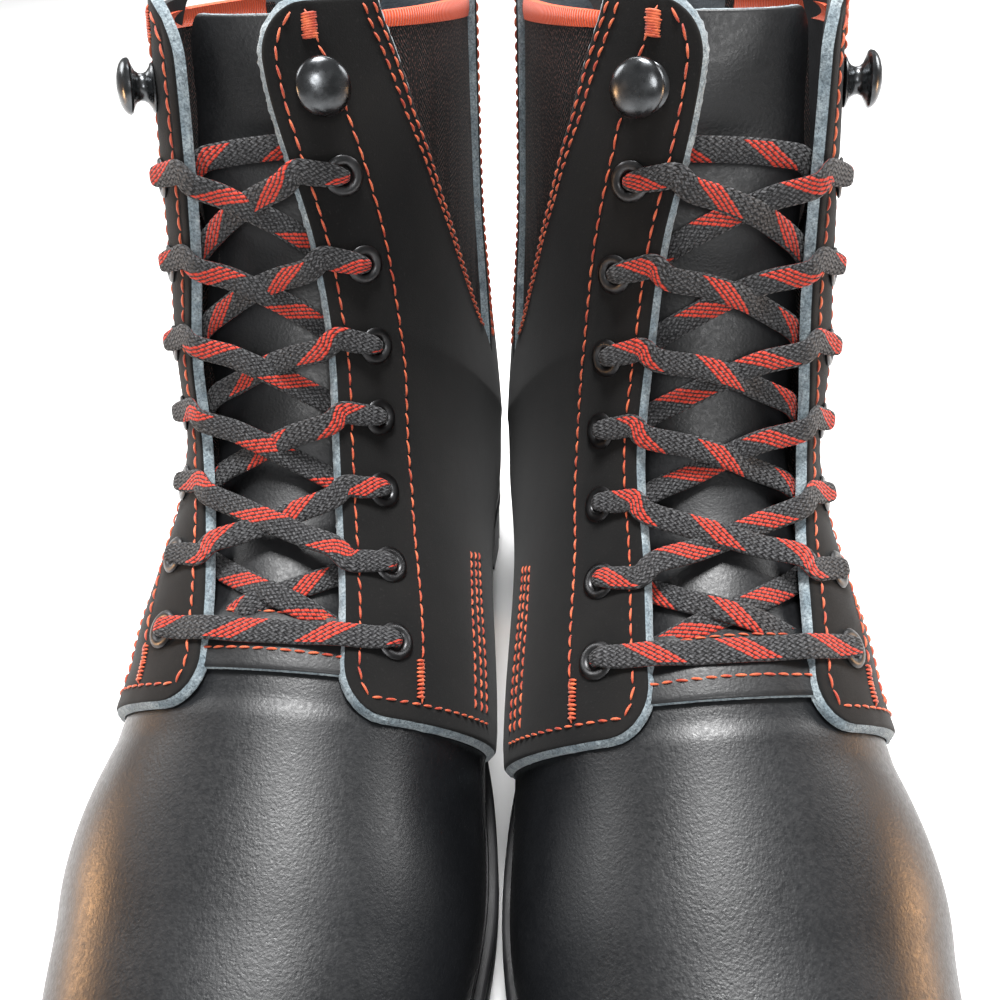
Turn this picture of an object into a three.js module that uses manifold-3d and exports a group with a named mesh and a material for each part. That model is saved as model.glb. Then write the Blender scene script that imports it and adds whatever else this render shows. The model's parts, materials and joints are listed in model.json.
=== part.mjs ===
// A pair of lace-up leather fire boots, in millimetres: +Z up, toes towards -Y, standing on Z = 0.
// Each boot is drawn in its own frame (wearer's inner side towards +X) and then set in place by a group.
import * as THREE from "three";
import { mergeVertices } from "three/addons/utils/BufferGeometryUtils.js";
import Module from "manifold-3d";

const wasm = await Module();
wasm.setup();

// ---- driving dimensions -------------------------------------------------------------------------
const TOE_Y = -146; // front of the foot at the feather line
const LAST_LENGTH = 284; // foot length inside the feather line
const GAP = 0.3; // clearance between pieces that touch
const BOOT_X = 45.6; // each boot's middle from the pair's middle
const TOE_OUT = 4; // degrees each boot turns outwards
const LEFT_AHEAD = 6; // the left boot stands this much further forward

const VAMP_LEATHER = 2.2;
const QUARTER_LEATHER = 2.6;
const STAY_TAPE = 0.8;
const GORE_ELASTIC = 1.3;
const TONGUE_LEATHER = 2;
const COUNTER_BOARD = 1.5;
const BACKSTAY_LEATHER = 1.8;
const BACKSTAY_HALF_WIDTH = 11;

const WELT_REACH = 5.5; // welt and sole edge beyond the upper
const WELT_THICK = 2.7;
const WELT_WIDTH = 14;
const MIDSOLE_THICK = 3;
const HEEL_FRONT_Y = 62;
const TREAD_GROOVE = 5;
const GROOVE_DEPTH = 4;
const FORE_GROOVES = [-112, -92, -72, -52, -32, -12];
const HEEL_GROOVES = [86, 106];
const BOARD_THICK = 2;
const FOOTBED_THICK = 3.5;
const BED_CLEARANCE = 2.6; // board and footbed inside the upper
const SHANK = { width: 14, thick: 1.2, from: -20, to: 92 };

const EYELETS = 7;
const EYELET_PITCH = 17.8;
const FIRST_EYELET = 9.3; // first eyelet above the throat, along the front
const HOOK_STEP = 17; // speed hook above the top eyelet
const EYELET_INSET = 11.2; // eyelet centres behind the facing edge
const EYELET = { bore: 1.9, barrel: 2.4, flange: 4.5, proud: 1, sides: 6 };
const HOOK = { base: 5.2, neck: 3.2, head: 5.8, height: 6.6, shank: 1.5, sides: 8 };
const LACE = { half: 3.6, thick: 1.3, round: 1.1, sides: 4 };
const AGLET = { radius: 1.7, length: 20 };

const HEEL_SECTION = 0.62; // the section that ends at the back of the heel seat
const VAMP_START = 0.012;
const THROAT = 0.308; // the tongue's lower edge
const QUARTER_START = 0.291;
const COLLAR = 0.905; // the collar's section
const TONGUE_TURN = 0.8; // the tongue folds here, above the top crossing
const TONGUE_TOP = 0.885;
const CORNER = 11; // rounded bottom and top corners of the facings
const RIM_RISE = 2.7; // the quarters end this far above the feather line
const STAY_START = 0.324;
const STAY_END = 0.79;

// Front line of the boot: section, y, z.
const FRONT = [
  [0, -146, 26], [0.035, -148, 41], [0.08, -140, 58], [0.13, -122, 66], [0.2, -94, 74],
  [0.27, -65, 84], [0.34, -39, 96], [0.44, -15, 113], [0.53, -1, 131], [0.62, 9, 149],
  [0.72, 16, 171], [0.82, 21, 192], [0.905, 25, 210],
];
// Back line above the heel seat: section, y, z.
const BACK = [
  [0.62, 138, 30], [0.655, 141, 52], [0.7, 139, 84], [0.76, 131, 122], [0.82, 129, 158],
  [0.87, 130, 186], [0.905, 132, 206],
];
// Feather line height along the foot: share of the length, z.
const FEATHER = [[0, 26], [0.12, 21], [0.3, 18], [0.45, 20], [0.62, 26], [0.8, 30], [1, 30]];
// Underside of the outsole along the foot: toe spring, flat tread, waist.
const TREAD = [[0, 8], [0.08, 2.5], [0.16, 0], [0.5, 0], [0.6, 12], [0.68, 17.1], [1, 17.1]];
// Half widths of the foot at the feather line: share of the length, width.
const INNER_EDGE = [
  [0, 36], [0.1, 38.5], [0.2, 42], [0.3, 43.8], [0.4, 40.5], [0.5, 34], [0.6, 29.5], [0.7, 28],
  [0.8, 29], [0.9, 30], [1, 30],
];
const OUTER_EDGE = [
  [0, 31], [0.1, 35], [0.2, 40.5], [0.3, 46], [0.38, 48], [0.5, 45], [0.6, 40.5], [0.7, 36.5],
  [0.8, 34.5], [0.9, 32.5], [1, 32.5],
];
// Greatest half widths over the instep: section, inner, outer.
const INSTEP = [
  [0, 50, 52], [0.2, 48, 50], [0.3, 44.5, 46], [0.4, 42, 39], [0.5, 42, 34], [0.62, 44, 31],
];
// Greatest half widths of the shaft: section, inner, outer.
const SHAFT = [[0.62, 44, 31], [0.7, 43, 28.5], [0.8, 41.5, 26], [0.905, 39.5, 24]];
// How square the front of each section is: section, inner, outer.
const SQUARE = [[0, 0.1, 0.1], [0.2, 0.1, 0.1], [0.4, 0.2, 0.45], [0.6, 0.3, 0.65], [1, 0.3, 0.6]];
// The shaft is turned outwards: shift of the front line and of the back line, by section.
const TURN = [
  [0, 0, 0], [0.2, 0, 0], [0.3, -2, 0], [0.4, -5, 0], [0.55, -8, 0], [0.75, -9, 1], [0.905, -9, 5],
];
// The shaft leans outwards.
const LEAN = { most: -4, from: 40, to: 150 }; // by height
// Side view of the elastic gore's notch: y, z, from the front top round its foot to the back top.
const NOTCH = [[37, 240], [38, 205], [41, 184], [47, 163], [57, 140], [66, 122], [74, 110]];
const NOTCH_BACK = [[81, 112], [87, 136], [90, 165], [92, 200], [93, 240]];
const COUNTER = { front: 90, low: 34, middle: 60, high: 82 }; // heel counter seen from the side
const GORE_MARGIN = 7;
const GORE_TOP = 202;

// Facing edges of each boot: section, inner and outer distance from the front line.
const FACINGS = {
  right: {
    inner: [[0.29, 19.5], [0.45, 19.5], [0.59, 20], [0.69, 16.8], [0.75, 13.5], [0.83, 9.5], [1, 9.5]],
    outer: [[0.29, 11], [0.35, 12.5], [0.45, 16.5], [0.55, 18.5], [0.7, 14], [0.83, 12], [1, 12]],
  },
  left: {
    inner: [
      [0.29, 19], [0.38, 20.7], [0.5, 25], [0.6, 23.2], [0.7, 19.8], [0.76, 16.5], [0.83, 13.7],
      [1, 13.5],
    ],
    outer: [[0.29, 14.5], [0.34, 16.2], [0.4, 17.7], [0.48, 20.5], [0.6, 17.5], [0.7, 17], [1, 17]],
  },
};

const FAR = 170; // beyond the boot on every side, for cutting shapes

// ---- the boot's outer surface ---------------------------------------------------------------------
const clamp = (v, low, high) => Math.min(high, Math.max(low, v));
const mix = (a, b, t) => a + (b - a) * t;
const ease = (a, b, v) => {
  const t = clamp((v - a) / (b - a), 0, 1);
  return t * t * (3 - 2 * t);
};

// A smooth curve through a table's rows: cubic Hermite with three-point slopes.
function curve(table, t) {
  const last = table.length - 1;
  let i = 0;
  while (i < last - 1 && t >= table[i + 1][0]) i += 1;
  const [here, next] = [table[i], table[i + 1]];
  const step = next[0] - here[0];
  const x = (t - here[0]) / step;
  const grade = (k, c) => (table[k + 1][c] - table[k][c]) / (table[k + 1][0] - table[k][0]);
  const slope = (k, c) => {
    if (k === 0) return grade(0, c);
    if (k === last) return grade(last - 1, c);
    const [before, after] = [table[k][0] - table[k - 1][0], table[k + 1][0] - table[k][0]];
    return (grade(k - 1, c) * after + grade(k, c) * before) / (before + after);
  };
  return here.slice(1).map((value, j) => {
    const c = j + 1;
    return (
      (2 * x ** 3 - 3 * x ** 2 + 1) * value +
      (x ** 3 - 2 * x ** 2 + x) * step * slope(i, c) +
      (-2 * x ** 3 + 3 * x ** 2) * next[c] +
      (x ** 3 - x ** 2) * step * slope(i + 1, c)
    );
  });
}

// Straight lines through a table's rows.
function lines(table, t) {
  let i = 0;
  while (i < table.length - 2 && t >= table[i + 1][0]) i += 1;
  const [a, b] = [table[i], table[i + 1]];
  return mix(a[1], b[1], clamp((t - a[0]) / (b[0] - a[0]), 0, 1));
}

// Half width of the foot's outline at a share of its length, rounded in at toe and heel.
function outline(share, side) {
  const [toe, heel, toePower, heelPower] = [0.2, 0.13, 2.3, 2.2];
  const a = clamp((toe - share) / toe, 0, 1);
  const b = clamp((share - (1 - heel)) / heel, 0, 1);
  const round = (1 - a ** toePower) ** (1 / toePower) * (1 - b ** heelPower) ** (1 / heelPower);
  return curve(side > 0 ? INNER_EDGE : OUTER_EDGE, share)[0] * round;
}

// One section: its front and back points, its half width at the feather line and its greatest one.
function section(u, side) {
  const along = clamp(u / HEEL_SECTION, 0, 1);
  const share = (1 - Math.cos(Math.PI * along)) / 2;
  const front = curve(FRONT, u);
  const onFoot = u <= HEEL_SECTION;
  const seat = [TOE_Y + LAST_LENGTH * share, curve(FEATHER, share)[0]];
  const back = onFoot ? seat : curve(BACK, u);
  const foot = onFoot ? outline(share, side) : 0;
  const column = side > 0 ? 0 : 1;
  const bulge = 4 * Math.sqrt(clamp(u / 0.05, 0, 1));
  const instep = curve(INSTEP, clamp(u, 0, HEEL_SECTION))[column];
  const width = onFoot
    ? mix(foot + bulge, instep, clamp((u - 0.2) / 0.1, 0, 1))
    : curve(SHAFT, u)[column];
  const widest = Math.max(width, foot + 0.5);
  const end = Math.PI - Math.asin(clamp(foot / widest, 0, 1));
  return { front, back, widest, end };
}

const lastAngle = (u, side) => section(u, side).end;

// The surface point at a section and an angle round it, from 0 on the front line.
function surface(u, angle, side) {
  const { front, back, widest, end } = section(u, side);
  const across = (1 - Math.cos(angle)) / (1 - Math.cos(end));
  const square = curve(SQUARE, u)[side > 0 ? 0 : 1] * clamp(Math.cos(angle), 0, 1) ** 2;
  const z = mix(front[1], back[1], across);
  const x =
    side * widest * Math.sin(angle) * (1 + square) +
    mix(...curve(TURN, u), across) +
    LEAN.most * ease(LEAN.from, LEAN.to, z);
  return new THREE.Vector3(x, mix(front[0], back[0], across), z);
}

// Outward normal of the surface, from its two tangents.
function normal(u, angle, side) {
  const e = 1e-3;
  const [u0, u1] = [Math.max(u - e, 0.004), Math.min(u + e, COLLAR)];
  const a = clamp(angle, 2 * e, Math.PI - 2 * e);
  const up = surface(u1, a, side).sub(surface(u0, a, side));
  const round = surface(u, a + e, side).sub(surface(u, a - e, side));
  return round.cross(up).multiplyScalar(side).normalize();
}

// The surface moved out by an offset.
function shifted(u, angle, side, offset) {
  return surface(u, angle, side).addScaledVector(normal(u, angle, side), offset);
}

// The angle at a distance round the section from the front line.
function angleAt(u, distance, side) {
  const steps = 60;
  const end = lastAngle(u, side);
  let before = surface(u, 0, side);
  let gone = 0;
  for (let i = 1; i <= steps; i += 1) {
    const here = surface(u, (end * i) / steps, side);
    const step = here.distanceTo(before);
    if (gone + step >= distance) return (end * (i - 1 + (distance - gone) / step)) / steps;
    gone += step;
    before = here;
  }
  return end;
}

// The section at a distance along the front line above another section.
function sectionAbove(start, distance) {
  const step = 5e-4;
  let gone = 0;
  let u = start;
  while (gone < distance && u < COLLAR) {
    const [a, b] = [curve(FRONT, u), curve(FRONT, u + step)];
    gone += Math.hypot(b[0] - a[0], b[1] - a[1]);
    u += step;
  }
  return u;
}

// The quarters lie over the vamp at the instep and sink to the boot's own surface up the shaft.
const VAMP_TOP = -QUARTER_LEATHER - GAP;
const lift = (u) => -VAMP_TOP * (1 - ease(0.3, 0.44, u));

// ---- the shared grid ------------------------------------------------------------------------------
const EYELET_ROWS = Array.from({ length: EYELETS }, (_, i) =>
  sectionAbove(THROAT, FIRST_EYELET + EYELET_PITCH * i),
);
const HOOK_ROW = sectionAbove(EYELET_ROWS[EYELETS - 1], HOOK_STEP);
const FRONT_COLUMNS = [0, EYELET_INSET / 2, EYELET_INSET, EYELET_INSET * 1.5, EYELET_INSET * 2];
const SIDE_COLUMNS = 5;
const FACING = 2; // index of the facing edge's column

const THROAT_ROWS = [QUARTER_START, 0.299, THROAT, 0.3225]; // closer rows round the throat
const UPPER_ROWS = [...THROAT_ROWS];
EYELET_ROWS.forEach((u, i) => {
  UPPER_ROWS.push(u);
  if (u < HEEL_SECTION - 0.02) UPPER_ROWS.push(mix(u, EYELET_ROWS[i + 1], 0.5));
});
UPPER_ROWS.push(mix(EYELET_ROWS[EYELETS - 1], HOOK_ROW, 0.4), HOOK_ROW);
[0.4, 0.75, 0.92, 1].forEach((t) => UPPER_ROWS.push(mix(HOOK_ROW, COLLAR, t)));

const facingEdge = (u, boot, side) => curve(FACINGS[boot][side > 0 ? "inner" : "outer"], u)[0];

// Angles of the grid's columns on one side: middle, facing edge, past the eyelets, then to the end.
function columns(u, side, boot) {
  const edge = facingEdge(Math.max(u, QUARTER_START), boot, side);
  const list = [0, edge / 2];
  FRONT_COLUMNS.forEach((d) => list.push(edge + d));
  const angles = list.map((d) => angleAt(u, d, side));
  const from = angles[angles.length - 1];
  const end = lastAngle(u, side);
  for (let i = 1; i <= SIDE_COLUMNS; i += 1) angles.push(mix(from, end, i / SIDE_COLUMNS));
  return angles;
}

// ---- solids ---------------------------------------------------------------------------------------
function solidFrom(geometry) {
  const bare = geometry.clone();
  bare.deleteAttribute("normal");
  bare.deleteAttribute("uv");
  const merged = mergeVertices(bare, 1e-4);
  const index = merged.index.array;
  const faces = [];
  for (let i = 0; i < index.length; i += 3) {
    const [a, b, c] = [index[i], index[i + 1], index[i + 2]];
    if (a !== b && b !== c && c !== a) faces.push(a, b, c);
  }
  return new wasm.Manifold(
    new wasm.Mesh({
      numProp: 3,
      vertProperties: merged.attributes.position.array,
      triVerts: new Uint32Array(faces),
    }),
  );
}

function geometryFrom(solid) {
  const mesh = solid.getMesh();
  const geometry = new THREE.BufferGeometry();
  const points = new THREE.BufferAttribute(new Float32Array(mesh.vertProperties), 3);
  geometry.setAttribute("position", points);
  geometry.setIndex(new THREE.BufferAttribute(new Uint32Array(mesh.triVerts), 1));
  return geometry;
}

// A closed solid between an outer and an inner grid of points with the same rows and columns.
function slabSolid(outer, inner) {
  const [rows, cols] = [outer.length, outer[0].length];
  const points = [...outer.flat(), ...inner.flat()];
  const at = (layer, r, c) => layer * rows * cols + r * cols + c;
  const faces = [];
  const quad = (a, b, c, d) => faces.push(a, b, c, a, c, d);
  for (let r = 0; r + 1 < rows; r += 1)
    for (let c = 0; c + 1 < cols; c += 1) {
      quad(at(0, r, c), at(0, r, c + 1), at(0, r + 1, c + 1), at(0, r + 1, c));
      quad(at(1, r, c), at(1, r + 1, c), at(1, r + 1, c + 1), at(1, r, c + 1));
    }
  for (let c = 0; c + 1 < cols; c += 1) {
    quad(at(0, 0, c), at(1, 0, c), at(1, 0, c + 1), at(0, 0, c + 1));
    quad(at(0, rows - 1, c), at(0, rows - 1, c + 1), at(1, rows - 1, c + 1), at(1, rows - 1, c));
  }
  for (let r = 0; r + 1 < rows; r += 1) {
    quad(at(0, r, 0), at(0, r + 1, 0), at(1, r + 1, 0), at(1, r, 0));
    quad(at(0, r, cols - 1), at(1, r, cols - 1), at(1, r + 1, cols - 1), at(0, r + 1, cols - 1));
  }
  const geometry = new THREE.BufferGeometry();
  const array = new Float32Array(points.flatMap((p) => [p.x, p.y, p.z]));
  geometry.setAttribute("position", new THREE.BufferAttribute(array, 3));
  geometry.setIndex(faces);
  return solidFrom(geometry);
}

// Turns a solid the right way out, whichever way its grid ran.
function outward(outer, inner) {
  const solid = slabSolid(outer, inner);
  return solid.volume() > 0 ? solid : slabSolid(inner, outer);
}

// A leather panel: rows of sections, each with its points as [side, angle] pairs, between two offsets.
function panel(rows, pointsOf, top, bottom) {
  const layer = (offset) =>
    rows.map((u) =>
      pointsOf(u).map(([side, angle]) => {
        const depth = typeof offset === "function" ? offset(u, side, angle) : offset;
        return shifted(u, angle, side, lift(u) + depth);
      }),
    );
  return outward(layer(top), layer(bottom));
}

// A round bar along the Y axis of a frame, as a cutter or a pin.
function pinSolid(radius, low, high, place, sides) {
  const bar = new THREE.CylinderGeometry(radius, radius, high - low, sides);
  bar.translate(0, (low + high) / 2, 0);
  return solidFrom(bar.applyMatrix4(place));
}

// A turned piece: profile of [radius, height] closed on itself, or ending on the axis.
function turned(profile, sides, place) {
  const points = profile.map(([r, h]) => new THREE.Vector2(r, h));
  const solid = solidFrom(new THREE.LatheGeometry(points, sides).applyMatrix4(place));
  if (solid.volume() > 0) return solid;
  return solidFrom(new THREE.LatheGeometry(points.reverse(), sides).applyMatrix4(place));
}

// A frame with its Y axis along the surface normal, at an offset from the boot's own surface.
function seatAt(u, angle, side, offset) {
  const out = normal(u, angle, side);
  const along = new THREE.Vector3(1, 0, 0).cross(out).normalize();
  const across = along.clone().cross(out);
  return new THREE.Matrix4()
    .makeBasis(along, out, across)
    .setPosition(shifted(u, angle, side, lift(u) + offset));
}

const box = (x0, x1, y0, y1, z0, z1) =>
  solidFrom(
    new THREE.BoxGeometry(x1 - x0, y1 - y0, z1 - z0).translate(
      (x0 + x1) / 2,
      (y0 + y1) / 2,
      (z0 + z1) / 2,
    ),
  );

// A side-view outline of [y, z] points carried across from x0 to x1.
function acrossSolid(points, x0, x1) {
  const shape = new THREE.Shape(points.map(([y, z]) => new THREE.Vector2(y, z)));
  const geometry = new THREE.ExtrudeGeometry(shape, { depth: x1 - x0, bevelEnabled: false });
  const turn = new THREE.Matrix4().makeBasis(
    new THREE.Vector3(0, 1, 0),
    new THREE.Vector3(0, 0, 1),
    new THREE.Vector3(1, 0, 0),
  );
  return solidFrom(geometry.applyMatrix4(turn).translate(x0, 0, 0));
}

// ---- soles ----------------------------------------------------------------------------------------
const SOLE_STATIONS = 18;

// The foot's outline on one side, moved out by a reach, between two shares of the length.
function edgePoints(side, reach, from, to) {
  const list = [];
  for (let i = 0; i <= SOLE_STATIONS; i += 1) {
    const share = mix(from, to, (1 - Math.cos((Math.PI * i) / SOLE_STATIONS)) / 2);
    const e = 1e-3;
    const [a, b] = [Math.max(share - e, 0), Math.min(share + e, 1)];
    const run = LAST_LENGTH * (b - a);
    const rise = outline(b, side) - outline(a, side);
    const length = Math.hypot(run, rise);
    const tip = share <= 0 || share >= 1;
    const out = tip ? [0, share <= 0 ? -1 : 1] : [run / length, -rise / length];
    const y = TOE_Y + LAST_LENGTH * share + out[1] * reach;
    const x = tip ? 0 : Math.max(outline(share, side) + out[0] * reach, 0);
    list.push({ x: side * x, y });
  }
  return list;
}

const shareOf = (y) => clamp((y - TOE_Y) / LAST_LENGTH, 0, 1);
const featherAt = (y) => curve(FEATHER, shareOf(y))[0];

// A plate with the foot's outline, between two heights given as functions of y.
function plate(reach, top, bottom, from = 0, to = 1) {
  const [inner, outer] = [1, -1].map((side) => edgePoints(side, reach, from, to));
  const grid = (height) =>
    inner.map((p, i) => [p, outer[i]].map((q) => new THREE.Vector3(q.x, q.y, height(q.y))));
  return outward(grid(top), grid(bottom));
}

function soleParts() {
  const under = (drop) => (y) => featherAt(y) - drop;
  const weltTop = GAP;
  const weltBottom = weltTop + WELT_THICK;
  const midTop = weltBottom + GAP;
  const midBottom = midTop + MIDSOLE_THICK;
  const outTop = midBottom + GAP;
  const hole = plate(WELT_REACH - WELT_WIDTH, (y) => featherAt(y) + 5, under(weltBottom + 5));
  const filler = plate(WELT_REACH - WELT_WIDTH - GAP, under(weltTop), under(weltBottom));
  const shankTop = (y) => featherAt(y) - weltTop;
  const shankRows = [SHANK.from, 10, 35, 62, SHANK.to];
  const strip = (half, high, low, grow) =>
    outward(
      ...[high, low].map((height) =>
        shankRows.map((y, i) => {
          const end = i === 0 ? -grow : i === shankRows.length - 1 ? grow : 0;
          return [-half, half].map((x) => new THREE.Vector3(x, y + end, height(y)));
        }),
      ),
    );
  const pocket = strip(
    SHANK.width / 2 + GAP,
    (y) => shankTop(y) + 1,
    (y) => shankTop(y) - SHANK.thick - GAP,
    GAP,
  );
  const shank = strip(SHANK.width / 2, shankTop, (y) => shankTop(y) - SHANK.thick, 0);
  const tread = (y) => {
    const low = lines(TREAD, shareOf(y));
    return Math.min(low, featherAt(y) - outTop - 2);
  };
  let outsole = plate(WELT_REACH, under(outTop), tread);
  FORE_GROOVES.forEach((y) => {
    const high = lines(TREAD, shareOf(y)) + GROOVE_DEPTH;
    outsole = outsole.subtract(box(-80, 80, y - TREAD_GROOVE / 2, y + TREAD_GROOVE / 2, -1, high));
  });
  const heelTop = (y) => tread(y) - GAP;
  let heel = plate(WELT_REACH, heelTop, () => 0).intersect(
    acrossSolid([[HEEL_FRONT_Y + 8, -1], [HEEL_FRONT_Y, 40], [160, 40], [160, -1]], -80, 80),
  );
  HEEL_GROOVES.forEach((y) => {
    const half = TREAD_GROOVE / 2;
    heel = heel.subtract(box(-80, 80, y - half, y + half, -1, GROOVE_DEPTH));
  });
  const inset = -VAMP_LEATHER - COUNTER_BOARD - BED_CLEARANCE;
  const above = (rise) => (y) => featherAt(y) + rise;
  const board = plate(inset, above(GAP + BOARD_THICK), above(GAP));
  const bedLow = GAP + BOARD_THICK + GAP;
  const footbed = plate(inset - BED_CLEARANCE, above(bedLow + FOOTBED_THICK), above(bedLow));
  return {
    outsole,
    heel_block: heel,
    midsole: plate(WELT_REACH - 0.5, under(midTop), under(midBottom)),
    welt: plate(WELT_REACH, under(weltTop), under(weltBottom)).subtract(hole),
    cork_filler: filler.subtract(pocket),
    shank,
    insole_board: board,
    footbed,
  };
}

// ---- uppers ---------------------------------------------------------------------------------------
// Columns of both sides, from the outer end over the front line to the inner end.
function bothSides(u, boot, reach) {
  const outer = columns(u, -1, boot).map((angle) => [-1, angle]);
  const inner = columns(u, 1, boot).map((angle) => [1, angle]);
  const count = reach ?? outer.length;
  return [...outer.slice(1, count).reverse(), ...inner.slice(0, count)];
}

// One side's points in the same order, so that facets of neighbouring layers stay parallel.
const oneSide = (angles, side) => {
  const list = angles.map((angle) => [side, angle]);
  return side > 0 ? list : list.reverse();
};

const VAMP_ROWS = [
  VAMP_START, 0.03, 0.05, 0.075, 0.105, 0.14, 0.175, 0.21, 0.245, 0.27, QUARTER_START,
];

function vampPart(boot) {
  const top = VAMP_TOP;
  const rows = [...VAMP_ROWS, THROAT_ROWS[1], THROAT - 0.001];
  return panel(rows, (u) => bothSides(u, boot), top, top - VAMP_LEATHER);
}

function toePuff(boot) {
  const top = VAMP_TOP - VAMP_LEATHER - GAP;
  const rows = VAMP_ROWS.slice(1, 7).filter((_, i) => i % 2 === 1);
  return panel(rows, (u) => bothSides(u, boot).slice(1, -1), top, top - COUNTER_BOARD);
}

// A solid plug that fills the boot out to an offset, for shells cut by a box.
function plug(offset, boot) {
  const rows = UPPER_ROWS.filter((u) => u > 0.42 && u < 0.88);
  const ring = (u) => bothSides(u, boot).slice(0, -1);
  const points = rows.map((u) => ring(u).map(([s, a]) => shifted(u, a, s, lift(u) + offset)));
  const ends = rows.map((u) => shifted(u, lastAngle(u, 1), 1, lift(u) + offset));
  points.forEach((row, i) => row.push(ends[i]));
  const [n, m] = [points.length, points[0].length];
  const faces = [];
  const at = (r, c) => r * m + (c % m);
  for (let r = 0; r + 1 < n; r += 1)
    for (let c = 0; c < m; c += 1)
      faces.push(at(r, c), at(r, c + 1), at(r + 1, c + 1), at(r, c), at(r + 1, c + 1), at(r + 1, c));
  const flat = points.flat();
  [0, n - 1].forEach((r) => {
    const middle = new THREE.Vector3();
    points[r].forEach((p) => middle.addScaledVector(p, 1 / m));
    flat.push(middle);
    for (let c = 0; c < m; c += 1) {
      const pair = r === 0 ? [at(r, c + 1), at(r, c)] : [at(r, c), at(r, c + 1)];
      faces.push(...pair, flat.length - 1);
    }
  });
  const geometry = new THREE.BufferGeometry();
  const array = new Float32Array(flat.flatMap((p) => [p.x, p.y, p.z]));
  geometry.setAttribute("position", new THREE.BufferAttribute(array, 3));
  geometry.setIndex(faces);
  const solid = solidFrom(geometry);
  if (solid.volume() > 0) return solid;
  for (let i = 0; i < faces.length; i += 3) [faces[i], faces[i + 1]] = [faces[i + 1], faces[i]];
  geometry.setIndex(faces);
  return solidFrom(geometry);
}

function heelCounter(boot) {
  const top = -QUARTER_LEATHER - GAP;
  const shell = plug(top, boot).subtract(plug(top - COUNTER_BOARD, boot));
  const { front, low, middle, high } = COUNTER;
  const side = [[front, low], [front - 6, middle], [front + 14, high], [FAR, high], [FAR, low]];
  return shell.intersect(acrossSolid(side, -FAR, FAR));
}

// Facing corners are rounded: the edge moves back near the quarter's bottom and top.
function cornerBack(u, boot, side) {
  const above = curve(FRONT, u);
  const reach = (edge) => {
    const p = curve(FRONT, edge);
    return Math.hypot(above[0] - p[0], above[1] - p[1]);
  };
  const near = Math.min(reach(QUARTER_START), reach(COLLAR));
  const t = clamp((CORNER - near) / CORNER, 0, 1);
  const edge = facingEdge(u, boot, side);
  return edge + CORNER * (1 - Math.sqrt(1 - t * t)) * 0.9;
}

function quarterPart(boot, side) {
  const rows = UPPER_ROWS;
  const pointsOf = (u) => {
    const list = columns(u, side, boot).slice(FACING);
    list[0] = angleAt(u, cornerBack(u, boot, side), side);
    list[1] = Math.max(list[1], mix(list[0], list[2], 0.5));
    const length = list.length;
    const [end, e] = [list[length - 1], 0.02];
    const speed = surface(u, end - e, side).distanceTo(surface(u, end, side)) / e;
    list[length - 1] = end - (u < HEEL_SECTION ? RIM_RISE : GAP) / speed;
    return oneSide(list, side);
  };
  let solid = panel(rows, pointsOf, 0, -QUARTER_LEATHER);
  const notch = acrossSolid([...NOTCH, ...NOTCH_BACK], side > 0 ? 0 : -90, side > 0 ? 90 : 0);
  solid = solid.subtract(notch);
  EYELET_ROWS.forEach((u) => {
    const place = seatAt(u, eyeletAngle(u, boot, side), side, 0);
    solid = solid.subtract(pinSolid(EYELET.barrel + GAP + 0.2, -6, 4, place, EYELET.sides));
  });
  const hook = seatAt(HOOK_ROW, eyeletAngle(HOOK_ROW, boot, side), side, 0);
  return solid.subtract(pinSolid(HOOK.shank + GAP + 0.1, -6, 4, hook, EYELET.sides));
}

const eyeletAngle = (u, boot, side) =>
  angleAt(u, facingEdge(u, boot, side) + EYELET_INSET, side);

function gorePart(boot, side) {
  const rows = UPPER_ROWS.filter((u) => u > 0.5);
  const top = -QUARTER_LEATHER - GAP;
  const pointsOf = (u) => oneSide(columns(u, side, boot).slice(FACING + 4, -1), side);
  const sheet = panel(rows, pointsOf, top, top - GORE_ELASTIC);
  const grown = [
    ...NOTCH.map(([y, z]) => [y - GORE_MARGIN, Math.min(z, GORE_TOP) - GORE_MARGIN]),
    ...NOTCH_BACK.map(([y, z]) => [y + GORE_MARGIN, Math.min(z - GORE_MARGIN, GORE_TOP)]),
  ];
  grown[0] = [NOTCH[0][0] - GORE_MARGIN, GORE_TOP];
  return sheet.intersect(acrossSolid(grown, side > 0 ? 0 : -90, side > 0 ? 90 : 0));
}

function backstayPart() {
  const rows = UPPER_ROWS.filter((u) => u > 0.66);
  const half = (u, side) => {
    const step = surface(u, Math.PI - 0.05, side).distanceTo(surface(u, Math.PI, side)) / 0.05;
    return BACKSTAY_HALF_WIDTH / step;
  };
  const pointsOf = (u) => [
    [1, Math.PI - half(u, 1)], [1, Math.PI - half(u, 1) / 2], [1, Math.PI],
    [-1, Math.PI - half(u, -1) / 2], [-1, Math.PI - half(u, -1)],
  ];
  return panel(rows, pointsOf, GAP + 0.35 + BACKSTAY_LEATHER, GAP + 0.35);
}

// ---- tongue ---------------------------------------------------------------------------------------
const TONGUE_COLUMNS = 5; // as far as the column behind the eyelets
const TONGUE_DEPTH = -7.8;
// The fold's axis behind the front line, and how steeply the base is cut down behind it.
const TONGUE_FOLD = { behind: 13, slope: 0.9 };
const tongueTop = (u, side, angle) => {
  const sink = clamp((u - THROAT) / 0.018, 0, 1);
  const middle = 2.4 * Math.cos(clamp(angle * 2.2, 0, Math.PI / 2)) * ease(THROAT, 0.4, u);
  return mix(VAMP_TOP, TONGUE_DEPTH, sink) - middle;
};
const tongueBottom = (u, side, angle) => tongueTop(u, side, angle) - TONGUE_LEATHER;

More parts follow.
